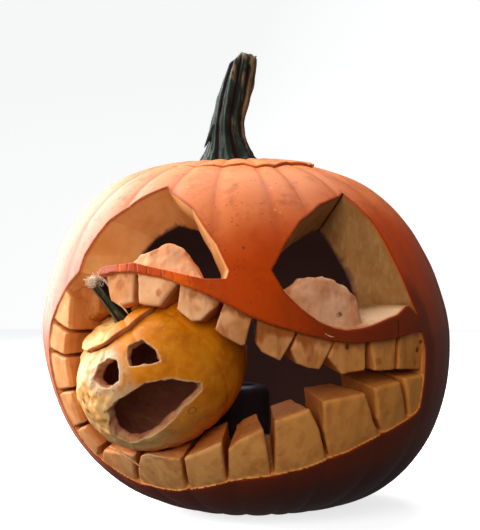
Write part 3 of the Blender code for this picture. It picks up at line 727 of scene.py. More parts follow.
# %% The big pumpkin as a field
FAR = 60.0                     # stands for any distance that is too large to matter
CUT_MARGIN = 24.0              # a cut is worked out this far beyond its outline
TOOTH_BACK, STUB_BACK, LUMP_BACK = 42.0, 44.0, 34.0    # how deep these blocks of flesh reach
FLOOR_INSIDE = 36.0            # the hollow is scraped flat at this height
FOOT = 0.2                     # the foot is flattened at this height
SAWN_ABOVE = 205.0             # the lid's saw cut goes no lower than this
KNIFE_EDGE = 0.7               # how round a knife leaves the edge of the skin


def near_outline(look, corners, margin):
    """Which points could touch a cut with these corners."""
    u, v = look["u"], look["v"]
    (u0, v0), (u1, v1) = corners.min(0) - margin, corners.max(0) + margin
    return (u > u0) & (u < u1) & (v > v0) & (v < v1)


def knife_cut(look, corners, narrows=True, margin=CUT_MARGIN, far=FAR):
    """Distance outside a cut, only worked out near its outline. It may narrow towards the core."""
    near = near_outline(look, corners, margin)
    side = flat_distance(look["u"][near], look["v"][near], corners)
    result = np.full(len(near), far, np.float32)
    result[near] = side * look["shrink"][near] if narrows else side
    return result


def block_of_flesh(points, look, skin, rows, front, back, rounding, seed, sink=0.0, taper=0.0):
    """A cut block of flesh between two depths, with the marks of the knife on it."""
    corners = BODY.outline(rows)
    result = np.full(len(points), FAR, np.float32)
    near = near_outline(look, corners, CUT_MARGIN)
    if not near.any():
        return result
    part = {key: look[key][near] for key in ("u", "v", "depth", "shrink")}
    where = points[near]
    knife = 0.55 * lumps(where, 13.0, seed) + 0.2 * lumps(where, 5.0, seed + 0.5)
    inward = np.maximum(part["depth"] - front, 0.0)
    side = flat_distance(part["u"], part["v"] + sink * inward, corners) * part["shrink"]
    side = side + taper * inward + knife
    strokes = np.stack([part["u"] / 5.5, part["v"] / 26.0, part["depth"] / 60.0], 1).astype(np.float32)
    face = (front - part["depth"] + 0.7 * lumps(where, 21.0, seed + 0.3) + 0.25 * knife
            + 0.4 * lumps(strokes, 1.0, seed))
    face = np.maximum(face, skin[near] + 0.8 * front + 0.25 * knife)
    block = shared(side, face, rounding)
    result[near] = shared(block, part["depth"] - back, 1.5)
    return result


def big_layers(points):
    """Every part of the big pumpkin as its own field, for the shape and for its colours."""
    look = BODY.look(points)
    skin = skin_field(points, look)
    hollow = (outside(HOLLOW.look(points)) + 1.3 * lumps(points, 26.0, 5.0)
              + 0.5 * lumps(points, 8.0, 1.7))
    hollow = shared(hollow, FLOOR_INSIDE - points[:, 2], 3.0)
    shell = shared(skin, -hollow, 1.5)
    knife = 0.35 * lumps(points, 15.0, 6.3) + 0.12 * lumps(points, 4.0, 0.9)
    mouth = knife_cut(look, MOUTH_OUTLINE)
    shell = shared(shell, -(mouth + knife), KNIFE_EDGE)
    scoop_floor = look["depth"] - SCOOP_DEPTH * (0.4 + 0.6 * smooth_step(look["turn"], -63.0, -50.0))
    scoop = shared(knife_cut(look, BODY.outline(SCOOP), narrows=False), scoop_floor, 2.0)
    shell = shared(shell, -scoop, 0.8)
    eyes = []
    for outer, deep in EYES:
        near = near_outline(look, np.concatenate([outer, deep]), CUT_MARGIN)
        eye = np.full(len(points), FAR, np.float32)
        share = np.clip(look["depth"][near] / WALL, 0.0, 1.3)
        eye[near] = morphed_distance(look["u"][near], look["v"][near], outer, deep, share)
        eye = eye * look["shrink"] + 0.3 * knife
        eyes.append(eye)
        shell = shared(shell, -eye, KNIFE_EDGE)
    teeth = np.full(len(points), FAR, np.float32)
    for number, rows in enumerate(UPPER_TEETH + LOWER_TEETH):
        below = number - len(UPPER_TEETH)
        tooth = block_of_flesh(points, look, skin, rows, PEEL[below >= 0], TOOTH_BACK,
                               3.0 if below > LAST_SHARP_TOOTH else 2.0, 0.37 * number,
                               *BACK_OF_TEETH.get(below, (0.0, 0.0)))
        teeth = np.minimum(teeth, tooth)
    for number, (rows, front) in enumerate(zip(STUB_TEETH, STUB_FRONTS)):
        stub = block_of_flesh(points, look, skin, rows, front, STUB_BACK, 2.5, 0.51 * number)
        teeth = np.minimum(teeth, stub)
    peaks = np.full(len(points), FAR, np.float32)
    for number, (rows, front, rounding) in enumerate(LUMPS):
        lump = block_of_flesh(points, look, skin, rows, front, LUMP_BACK, rounding, 4.0 + number)
        peaks = np.minimum(peaks, lump)
    near = peaks < 6.0
    peaks[near] += 0.8 * lumps(points[near], 7.0, 2.0) + 0.35 * lumps(points[near], 2.9, 4.0)
    shape = joined(shell, teeth, 0.6)
    shape = joined(shape, peaks, 0.8)
    shape = shared(shape, skin, 0.6)
    saw = saw_cut(points, 0.6)
    shape = np.where(points[:, 2] > SAWN_ABOVE, shared(shape, -saw, 0.6), shape)
    shape = shared(shape, 1.0 - outside(SMALL.look(into_small(points))), 0.8)
    shape = shared(shape, FOOT - points[:, 2], 2.5)
    return {"shape": shape.astype(np.float32), "skin": skin, "hollow": hollow, "teeth": teeth,
            "peaks": peaks, "eyes": np.minimum(*eyes), "mouth": mouth, "look": look}


pumpkin = grow("big_pumpkin", big_layers, box_of(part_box("pumpkin"), 4.0), 1.3,
               190000, "pumpkin")

# %% [markdown]
# ## The lid and its stalk
# The lid is the same skin inside the same saw cut, tipped up a little on its right side because it
# never drops back exactly. Its cut edge shows there as a darker band.

# %% The lid
LID_TURN = np.array(Matrix.Rotation(math.radians(-1.4), 3, 'Y'), np.float32)
LID_PIVOT = np.array((-60.0, 0.0, LID_SEAM), np.float32)
LID_BOTTOM = 241.0
LID_BOX = (-90.0, -92.0, 236.0), (74.0, 76.0, 281.0)   # two corners that hold it with room to spare


def level_lid(points):
    """Where points of the tipped lid were before it was tipped."""
    return (points - LID_PIVOT) @ LID_TURN + LID_PIVOT


def lid_layers(points):
    """The lid: the skin inside the saw cut, raised a little round its stalk and flat below."""
    level = level_lid(points)
    skin = skin_field(level, BODY.look(level))
    across = np.hypot(level[:, 0] + 12.0, level[:, 1])
    skin = skin + 3.0 * smooth_step(across, 46.0, 20.0)
    bottom = LID_BOTTOM - level[:, 2] + 1.2 * lumps(points, 15.0, 4.0) + 0.5 * lumps(points, 6.0)
    shape = shared(shared(skin, saw_cut(level, 0.0), 0.5), bottom, 2.0)
    return {"shape": shape.astype(np.float32), "skin": skin}


lid = grow("lid_cap", lid_layers, LID_BOX, 1.2, 60000, "lid")

# %% [markdown]
# A stalk is a bent woody stem with uneven ridges that fan out where it grips the lid. It was cut
# with pruning shears, so its top is a ragged end with a splinter, and a flake of bark hangs loose
# at its left.

# %% The stalk
# centre, height and half-width
STALK = np.array([
    (-13.4, 262, 27), (-13.6, 270.5, 26.3), (-13.9, 274.5, 23.2), (-14.1, 278.5, 20.6),
    (-14.1, 283, 18.4), (-14.7, 290, 16), (-15, 296, 14.6), (-14.6, 304, 13.5),
    (-12.8, 313, 13.4), (-10.3, 321, 13.9), (-7.3, 334, 13.3), (-5.1, 342.5, 12.7),
    (-3, 351.5, 11.4), (-1.6, 361, 9.6)])
STALK_BASE, STALK_TOP = 268.5, 358.6
STALK_BOX = (-44.0, -30.0, 266.0), (16.0, 30.0, 363.0)


def limb(points, start, end, thick, thin):
    """A tapering round twig between two points."""
    start, end = np.array(start, np.float32), np.array(end, np.float32)
    along = end - start
    share = np.clip((points - start) @ along / (along @ along), 0.0, 1.0)
    away = np.linalg.norm(points - start - share[:, None] * along, axis=1)
    return away - (thick + (thin - thick) * share)


STEM_STEPS, STEM_BLUR = 240, 23    # a stem is blurred over so many of its steps, to bend smoothly


def stem_frame(points, rows):
    """How far each point is to the right of a bent stem's middle, and the stem's half-width there."""
    height = np.linspace(rows[0, 1], rows[-1, 1], STEM_STEPS)
    middle = [np.interp(height, rows[:, 1], rows[:, i]) for i in (0, 2)]
    kernel = np.hanning(STEM_BLUR) / np.hanning(STEM_BLUR).sum()
    middle = [np.convolve(np.pad(m, STEM_BLUR // 2, mode="edge"), kernel, "valid") for m in middle]
    x = points[:, 0] - np.interp(points[:, 2], height, middle[0])
    return x, np.interp(points[:, 2], height, middle[1])


def ridged_stem(points, rows, ridges, deep, twist, seed):
    """Distance outside a bent stem whose ridges are uneven and whose bark is fibrous."""
    z = points[:, 2]
    x, half_width = stem_frame(points, rows)
    angle = np.arctan2(x, -points[:, 1]) + twist * (z - rows[0, 1])
    swirl = np.stack([np.cos(angle) * 3.0, np.sin(angle) * 3.0, z * 0.02], 1).astype(np.float32)
    wave = 0.5 - 0.5 * np.cos(ridges * angle + 1.3 * lumps(swirl, 2.0, seed))
    wave = wave ** 1.5 * (0.75 + 0.5 * lumps(swirl, 1.5, seed + 3.0))
    fine = 0.5 - 0.5 * np.cos(2.6 * ridges * angle + 2.0 * lumps(swirl, 1.0, seed + 1.0))
    grain = np.stack([np.cos(angle) * half_width, np.sin(angle) * half_width, z * 0.14], 1)
    bark = lumps(grain.astype(np.float32), 1.5, seed + 5.0)
    radius = half_width * (1.0 - deep * wave - 0.28 * deep * fine) + 0.35 * bark
    radius += 0.5 * lumps(points, 9.0, seed)
    return (np.hypot(x, points[:, 1]) - radius) * 0.85


def stalk_layers(points):
    """The stalk with its ragged top, the splinter at its tip and the flake at its left."""
    stem = ridged_stem(points, STALK, 9, 0.17, 0.006, 2.0)
    x = points[:, 0]
    top = points[:, 2] - STALK_TOP + 0.25 * np.maximum(x + 1.0, -4.0 * (x + 4.0)) * 0.7
    top = top + 1.1 * lumps(points, 5.0, 7.0)
    stem = shared(stem, top, 3.0)
    splinter = limb(points, (2.5, -6.0, 350.5), (8.6, -7.0, 356.8), 2.8, 0.3)
    flake = limb(points, (-26.0, -6.0, 300.0), (-33.2, -7.0, 283.6), 2.6, 0.5)
    stem = joined(joined(stem, splinter, 0.8), flake, 0.7)
    return {"shape": shared(stem, STALK_BASE - points[:, 2], 0.5).astype(np.float32)}


stalk = grow("stalk", stalk_layers, STALK_BOX, 0.9, 50000, "lid")

# %% [markdown]
# ## The small pumpkin
# It lies on its back between the teeth. Its skin is lumpy on the side that grew against the ground,
# and its face was hacked out with a blunt knife, so the edges are ragged.

# %% Small pumpkin
SMALL_HOLLOW = Gourd(56.3, 0.0, 46.6, 46.6, (2.1, 2.1), (2.1, 2.1))
# (turn, height) of its right eye, its left eye and its mouth, in its own frame
SMALL_FACE = [
    [(-6, 37), (6, 35), (9, 25), (7, 18), (1, 20), (-12, 26), (-11, 31)],
    [(-38, 36), (-26, 37), (-19, 34), (-21, 27), (-24, 22), (-33, 21), (-41, 24), (-47, 30)],
    [(-23, 11), (-9, 11), (6, 3), (19, -12), (17, -16), (1, -19), (-17, -23), (-33, -25), (-53, -23),
     (-54, -14), (-50, -3), (-44, 7), (-34, 11)],
]
SMALL_FAR = 40.0               # stands for any distance that is too large to matter here
SMALL_GROOVES = np.array([-160.0, -128.0, -98.0, -66.0, -33.0, 2.0, 38.0, 76.0, 112.0, 150.0])


def small_skin(own):
    """The small pumpkin's skin field, with its grooves, its crown and its warts."""
    look = SMALL.look(own)
    place = np.interp(look["turn"], np.concatenate([[-210.0], SMALL_GROOVES, [200.0]]),
                      np.arange(len(SMALL_GROOVES) + 2))
    groove = (1.0 - np.sin(math.pi * (place - np.floor(place)))) ** 1.6
    across = np.hypot(own[:, 0], own[:, 1])
    crown = (smooth_step(across, 26.0, 6.0) + 0.6 * smooth_step(across, 52.0, 26.0)) * (own[:, 2] > 0.0)
    lumpy = smooth_step(look["turn"], -5.0, -45.0)
    bumps = (0.35 + 0.9 * lumpy) * lumps(own, 10.0, 3.0) + 0.75 * lumpy * lumps(own, 4.5, 1.0)
    skin = outside(look) + 1.2 * groove + 6.0 * crown - bumps - 0.2
    return skin, look


SMALL_LID_RADIUS, SMALL_LID_SEAM, SMALL_LID_TAPER = 37.0, 44.0, 0.8


def small_saw(own, gap):
    """Distance outside the slanted round cut of the small lid."""
    across = np.hypot(own[:, 0], own[:, 1]) + 0.8 * lumps(own, 8.0, 5.0) + 0.3 * lumps(own, 3.0)
    out = across - SMALL_LID_RADIUS - SMALL_LID_TAPER * (own[:, 2] - SMALL_LID_SEAM) - gap
    return out / math.hypot(1.0, SMALL_LID_TAPER)


def small_layers(points):
    """The small pumpkin: its skin, minus its hollow, its ragged face and the hole for its lid."""
    own = into_small(points)
    skin, look = small_skin(own)
    hollow = outside(SMALL_HOLLOW.look(own)) + 0.9 * lumps(own, 9.0, 6.0) + 0.4 * lumps(own, 3.5)
    shape = shared(skin, -hollow, 1.0)
    ragged = 0.9 * lumps(own, 5.5, 2.6) + 0.45 * lumps(own, 2.4, 4.1)
    face = np.full(len(points), SMALL_FAR, np.float32)
    for rows in SMALL_FACE:
        cut = knife_cut(look, SMALL.outline(rows), margin=14.0, far=SMALL_FAR)
        face = np.minimum(face, cut)
    shape = shared(shape, -(face + ragged), 0.7)
    shape = np.where(own[:, 2] > 20.0, shared(shape, -small_saw(own, 0.0), 0.5), shape)
    return {"shape": shape.astype(np.float32), "skin": skin, "face": face, "look": look}


small = grow("small_pumpkin_body", small_layers, box_of(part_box("small_pumpkin"), 3.0), 1.0,
             100000, "small_pumpkin")

# %% [markdown]
# The small lid is the same skin inside the same slanted cut. It is thicker under its stalk, so that
# the stalk has something to stand on. It was not pushed all the way back, so its rim stands proud.

# %% Small lid
SMALL_LIFT = 4.5               # the small lid stands this far out of its hole
SMALL_LID_BOTTOM = 35.0


def small_lid_layers(points):
    own = into_small(points) - np.array((0.0, 0.0, SMALL_LIFT), np.float32)
    skin, look = small_skin(own)
    under_stalk = smooth_step(np.hypot(own[:, 0], own[:, 1]), 36.0, 14.0)
    skin = skin + 2.5 * under_stalk
    hollow = outside(SMALL_HOLLOW.look(own)) + 0.9 * lumps(own, 9.0, 6.0)
    hollow = hollow + 9.0 * under_stalk
    cut = small_saw(own, SMALL_LID_TAPER * SMALL_LIFT - 1.0)
    shape = shared(shared(skin, -hollow, 1.0), cut, 0.9)
    shape = shared(shape, SMALL_LID_BOTTOM - own[:, 2], 1.0)
    face = np.full(len(points), SMALL_FAR, np.float32)
    return {"shape": shape.astype(np.float32), "skin": skin, "face": face, "look": look}


small_lid_box = box_of(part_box("small_lid"), 3.0)
small_lid = grow("small_lid_cap", small_lid_layers, small_lid_box, 0.8, 40000, "small_lid")

# %% [markdown]
# The stalk of the small pumpkin is the same kind of ridged stem, thinner, straight in its own frame
# and cut off at a slant.

# %% Small stalk
SMALL_STALK = np.array([
    (0.6, 38, 10.5), (0.6, 44, 9.2), (0.5, 48, 8), (0.2, 53, 6.9), (0, 60, 6.3),
    (-0.2, 68, 6.1), (-0.1, 78, 6.3), (0.2, 90, 6.8)])
SMALL_STALK_BASE, SMALL_STALK_TOP = 42.0, 81.5


def small_stalk_layers(points):
    own = into_small(points)
    stem = ridged_stem(own, SMALL_STALK, 5, 0.24, 0.004, 6.0)
    top = own[:, 2] - SMALL_STALK_TOP + 0.25 * own[:, 0] + 0.8 * lumps(own, 2.5, 7.0)
    stem = shared(stem, top, 0.8)
    return {"shape": shared(stem, SMALL_STALK_BASE - own[:, 2], 0.5).astype(np.float32)}


small_stalk = grow("small_stalk", small_stalk_layers, small_lid_box, 0.6,
                   24000, "small_lid")

# %% [markdown]
# The shears left a brush of pale fibres at the tip of the small stalk, and a strip of its bark peeled
# back. A few curls of flesh from the knife still lie on the lower teeth. Each is a thin strand swept
# along a bent line.

# %% Fibres and shavings
def strands(name, lines, node=None, sides=6):
    """Thin tapering strands: each line is its rows of x, y, z, width and thickness."""
    vertices, faces = [], []
    for rows in lines:
        rows = np.array(rows, float)
        count = 4 * (len(rows) - 1) + 1
        place = np.linspace(0.0, len(rows) - 1.0, count)
        rows = np.stack([np.interp(place, np.arange(len(rows)), column) for column in rows.T], 1)
        rows[1:-1] = 0.25 * rows[:-2] + 0.5 * rows[1:-1] + 0.25 * rows[2:]
        along = np.gradient(rows[:, :3], axis=0)
        along /= np.linalg.norm(along, axis=1, keepdims=True)
        across = np.cross(along, (0.0, 1.0, 0.0))
        across /= np.linalg.norm(across, axis=1, keepdims=True)
        outward = np.cross(across, along)
        start = len(vertices)
        for row, side, out in zip(rows, across, outward):
            for n in range(sides):
                angle = 2.0 * math.pi * n / sides
                vertices.append(row[:3] + 0.5 * row[3] * math.cos(angle) * side
                                + 0.5 * row[4] * math.sin(angle) * out)
        for ring in range(count - 1):
            for n in range(sides):
                a, b = start + ring * sides + n, start + ring * sides + (n + 1) % sides
                faces.append((a, b, b + sides, a + sides))
        faces.append(tuple(range(start, start + sides))[::-1])
        faces.append(tuple(start + (count - 1) * sides + n for n in range(sides)))
    piece = new_piece(name, vertices, faces, node)
    print(name, len(lines), "strands,", len(faces), "faces")
    return piece


dice = np.random.default_rng(5)
lines = []
for number in range(130):
    turn = math.radians(dice.uniform(-190.0, 60.0))
    out = 6.0 * math.sqrt(dice.uniform(0.05, 1.0))
    lean = np.array([math.sin(turn), -math.cos(turn), 0.0])
    drop = dice.uniform(0.5, 6.0) if out > 5.2 else 0.5
    root = out * lean + np.array((0.0, 0.0, SMALL_STALK_TOP - 0.25 * out * math.sin(turn) - drop))
    length = dice.uniform(2.0, 5.5)
    up = dice.uniform(0.4, 1.2)
    middle = root + length * 0.5 * (0.35 * lean + (0.0, 0.0, up))
    tip = root + length * (dice.uniform(0.2, 0.7) * lean + (dice.uniform(-0.3, 0.2), 0.0, up - 0.2))
    thick = dice.uniform(0.5, 1.2)
    own = out_of_small(np.stack([root, middle, tip]))
    lines.append([(*own[0], thick, thick), (*own[1], thick, 0.8 * thick), (*own[2], 0.3, 0.3)])
peeled = out_of_small(np.array([(4.2, -4.8, 68.0), (5.0, -4.6, 76.0), (4.0, -4.0, 86.0)]))
lines.append([(*peeled[0], 0.4, 0.4), (*peeled[1], 1.8, 1.0), (*peeled[2], 0.5, 0.4)])
fibres = strands("fibres", lines, "small_lid")
shavings = strands("shavings", [
    [(-99.9, -95, 58.9, 0.8, 0.6), (-92.1, -100.5, 55.6, 1.8, 0.8), (-83.8, -104.5, 50.8, 2.4, 0.8),
     (-75.9, -106, 45, 0.6, 0.5)],
    [(-76, -112.5, 53.5, 0.5, 0.5), (-70.5, -117.5, 56, 1.8, 1), (-63.5, -122, 55.2, 2.4, 1.2),
     (-57, -125, 54.2, 0.6, 0.5)],
    [(-89.5, -131, 164, 1.6, 1), (-85.9, -132.5, 160, 1.4, 0.8), (-82.4, -134, 155.5, 0.3, 0.3)],
    [(53.5, -150, 143.6, 0.5, 0.4), (57, -149, 141.6, 1, 0.7), (60.5, -147.8, 141, 0.4, 0.4)],
    [(122, -101.5, 149, 0.4, 0.4), (123, -101.8, 146, 1.1, 0.7), (122.5, -102.6, 142, 0.4, 0.4)],
], None)

# %% [markdown]
# The candle jar is a turned shape: a straight wall, a rounded shoulder and a shallow well for the
# wick inside the rim.

# %% Candle jar
JAR_X, JAR_Y, JAR_RADIUS, JAR_LOW, JAR_HIGH = -12.0, -8.0, 30.0, 36.3, 96.8


def turned(name, profile, place, segments, node=None):
    """A shape turned on a lathe from (radius, height) rows."""
    count = len(profile)
    angle = np.linspace(0.0, 2.0 * math.pi, segments, endpoint=False)
    rings = [np.stack([place[0] + r * np.sin(angle), place[1] - r * np.cos(angle),
                       np.full(segments, z)], 1) for r, z in profile]
    vertices = np.concatenate(rings)
    faces = []
    for row in range(count - 1):
        for i in range(segments):
            j = (i + 1) % segments
            faces.append((row * segments + i, row * segments + j,
                          (row + 1) * segments + j, (row + 1) * segments + i))
    faces.append(tuple(range(segments))[::-1])
    faces.append(tuple((count - 1) * segments + i for i in range(segments)))
    return new_piece(name, vertices, faces, node)


def arc(radius, height, size, start, end, steps=7):
    """Rows of a quarter round about (radius, height)."""
    angle = np.radians(np.linspace(start, end, steps))
    return [(radius + size * math.cos(a), height + size * math.sin(a)) for a in angle]


profile = [(2.0, JAR_LOW)] + arc(JAR_RADIUS - 3.0, JAR_LOW + 3.0, 3.0, -90.0, 0.0)
profile += arc(JAR_RADIUS - 8.0, JAR_HIGH - 8.0, 8.0, 0.0, 90.0, 12)
profile += arc(JAR_RADIUS - 10.0, JAR_HIGH - 1.5, 1.5, 90.0, 180.0)
profile += [(JAR_RADIUS - 11.5, JAR_HIGH - 4.0), (2.0, JAR_HIGH - 4.0)]
jar = turned("candle_jar_body", profile, (JAR_X, JAR_Y), 96, "candle_jar")

# %% [markdown]
# ## Numbers that the mesh carries
# A cut pumpkin changes colour with depth: a skin as thin as paper, a pale line, then flesh that
# dries darker. The fields know that depth exactly, so each point of the mesh stores it, together
# with what the point belongs to, and the finish reads it like a texture.

# %% Layers of the big pumpkin
EDGE_RANGE = (-8.0, 20.0)      # distances to a cut beyond these look the same


def near_surface(values, width):
    """1 where a part's own surface is, fading to 0 at width from it."""
    return 1.0 - smooth_step(np.abs(values), 0.4 * width, width)


def groove_shade(turn):
    """1 at the bottom of a groove, fading up the sides of its ribs."""
    return (1.0 - np.sin(math.pi * rib_share(turn))) ** 1.7


def carry_layers(piece):
    """Store what the finish of the big pumpkin reads, with a tone of its own for each tooth."""
    points = points_of(piece)
    layers = big_layers(points)
    look = layers["look"]
    carry(piece, "depth", -layers["skin"])
    carry(piece, "hollow", near_surface(layers["hollow"], 3.0))
    carry(piece, "tooth", near_surface(layers["teeth"], 1.6))
    carry(piece, "peak", near_surface(layers["peaks"], 1.6))
    carry(piece, "edge", np.clip(np.minimum(layers["eyes"], layers["mouth"]), *EDGE_RANGE))
    carry(piece, "groove", groove_shade(look["turn"]))
    tone = np.zeros(len(points), np.float32)
    for number, rows in enumerate(UPPER_TEETH + LOWER_TEETH + STUB_TEETH):
        inside = knife_cut(look, BODY.outline(rows), narrows=False, margin=2.5) < 2.0
        tone[inside] = math.sin(7.3 * number + 1.0)
    carry(piece, "tone", tone)


carry_layers(pumpkin)
carry(lid, "depth", -lid_layers(points_of(lid))["skin"])
carry(lid, "groove", groove_shade(BODY.look(level_lid(points_of(lid)))["turn"]))
for piece, rows, seen in ((stalk, STALK, points_of(stalk)),
                          (small_stalk, SMALL_STALK, into_small(points_of(small_stalk)))):
    off, half_width = stem_frame(seen, rows)
    carry(piece, "ridge", np.hypot(off, seen[:, 1]) / half_width)
    carry(piece, "rightward", off / half_width)
    carry(piece, "upward", seen[:, 2])
for piece, layers_of in ((small, small_layers), (small_lid, small_lid_layers)):
    layers = layers_of(points_of(piece))
    carry(piece, "depth", -layers["skin"])
    carry(piece, "pale", smooth_step(layers["look"]["turn"], -4.0, -40.0))
    carry(piece, "face", np.clip(layers["face"], *EDGE_RANGE))
print("layers:", ", ".join(a.name for a in pumpkin.data.attributes if a.data_type == "FLOAT"))

# %% [markdown]
# ## Finishes
# Each finish is built in the order in which the real surface got its look: what grew, what was cut,
# what dried or went bad since. Everything is computed from the place of a point and the numbers it
# carries, so no picture is needed and no seam shows. Two marks turn up all over the carving. A spot
# is a stain round a point, with a ragged edge. A scratch is the thin line that a knife leaves where
# it ran on past its corner.

# %% Spots and scratches
def spot(place, centre, size, ragged):
    """1 within about `size` millimetres of a point."""
    return (place.away_from(centre) * (1.0 / (size * MM)) + (ragged - 0.5) * 1.4).step(1.25, 0.45)


def scratch(place, start, end, width):
    """1 on a straight line between two points."""
    start, end = Vector(start) * MM, Vector(end) * MM
    along = (end - start).normalized()
    vector = "ShaderNodeVectorMath"
    offset = place.node(vector, {"operation": "SUBTRACT"}, _0=place, _1=tuple(start))
    cross = place.node(vector, {"operation": "CROSS_PRODUCT"}, _0=offset, _1=tuple(along))
    away = place.node(vector, {"operation": "LENGTH"}, out=1, _0=cross)
    run = place.node(vector, {"operation": "DOT_PRODUCT"}, out=1, _0=offset, _1=tuple(along))
    length = (end - start).length
    inside = run.step(-0.0005, 0.0005) * run.step(length + 0.0005, length - 0.0015)
    return away.step(width * MM, 0.4 * width * MM) * inside


def together(masks):
    """The strongest of several masks."""
    total = masks[0]
    for mask in masks[1:]:
        total = total.math("MAXIMUM", total, mask)
    return total


def skin_point(turn, height, depth=0.0):
    """A point under the skin of the big pumpkin, from its turn and height."""
    point = BODY.on_skin(turn, height)
    core = np.array((0.0, 0.0, BODY.waist))
    return point - (point - core) * depth / np.linalg.norm(point - core)


def spots(place, rows, ragged):
    """A mask for each row of turn, height, depth and size."""
    return [spot(place, skin_point(*row[:3]), row[3], ragged) for row in rows]


def scratches(place, rows):
    """One mask for rows of two ends, as turn, height and depth, and a width."""
    return together([scratch(place, skin_point(*start), skin_point(*end), width)
                     for start, end, width in rows])


# turn, height, depth, size
BROWN_SPOTS = [(26.3, 133.7, 4, 2.2), (53.5, 134.8, 3, 1.8), (52, 129, 3, 2.2), (25.7, 157, 8, 2.6),
               (25.2, 151, 8, 1.6), (0.6, 201.9, 0, 1.6)]
TAN_SPOTS = [(-35.5, 177.6, 3.5, 4.6), (-38.5, 184, 3.5, 3.4), (-34, 184, 3.5, 2.6),
             (-23, 172, 3.5, 3), (-13.5, 172, 4, 3.4), (5.5, 151, 4, 3.4), (9, 144, 4, 2.4),
             (16, 141, 4, 3), (22, 139, 4, 2.4), (36, 122, 3.4, 3.2), (30.5, 170, 8, 4),
             (12, 174, 8, 3.4), (-27, 204, 7, 4), (51, 120, 3.4, 3)]
PALE_SPOTS = [(-19.4, 247.1, 0, 1.4), (12.5, 246.9, 0, 1.5), (17, 246.2, 0, 1), (11.4, 229.7, 0, 1),
              (12.8, 227.5, 0, 1.1), (-2, 186, 0, 0.9)]
# turn, height, depth of both ends, and the width of the line
SCRATCHES = [((43, 244, 0.5), (45.9, 245.3, 42.6), 1.3), ((39.4, 245.4, 0), (42.6, 243.4, 0), 1),
             ((42.8, 243.6, 0), (45.6, 244.4, 0), 1), ((50.4, 157, 0), (53.4, 149, 0), 0.9),
             ((42.9, 151, 0), (42.5, 141, 0), 0.9), ((23.4, 145, 0), (23, 138.4, 0), 0.6)]
# the strip under the left eye is creased like a rolled edge
CREASES = [((-36, 192.3, 0), (-35.6, 186, 0), 1.3), ((-32.8, 192.5, 0), (-32.6, 187, 0), 1.1),
           ((-30.2, 191.5, 0), (-29.5, 185.2, 0), 1.6), ((-26.7, 189.6, 0), (-26.2, 184, 0), 1.1),
           ((-22.4, 187.8, 0), (-21.6, 182, 0), 1.1), ((-19.1, 186.6, 0), (-18.2, 180, 0), 1.5),
           ((-14.6, 184.5, 0), (-13.4, 176.5, 0), 1)]
print(len(BROWN_SPOTS + TAN_SPOTS + PALE_SPOTS), "spots,", len(SCRATCHES + CREASES), "scratches")
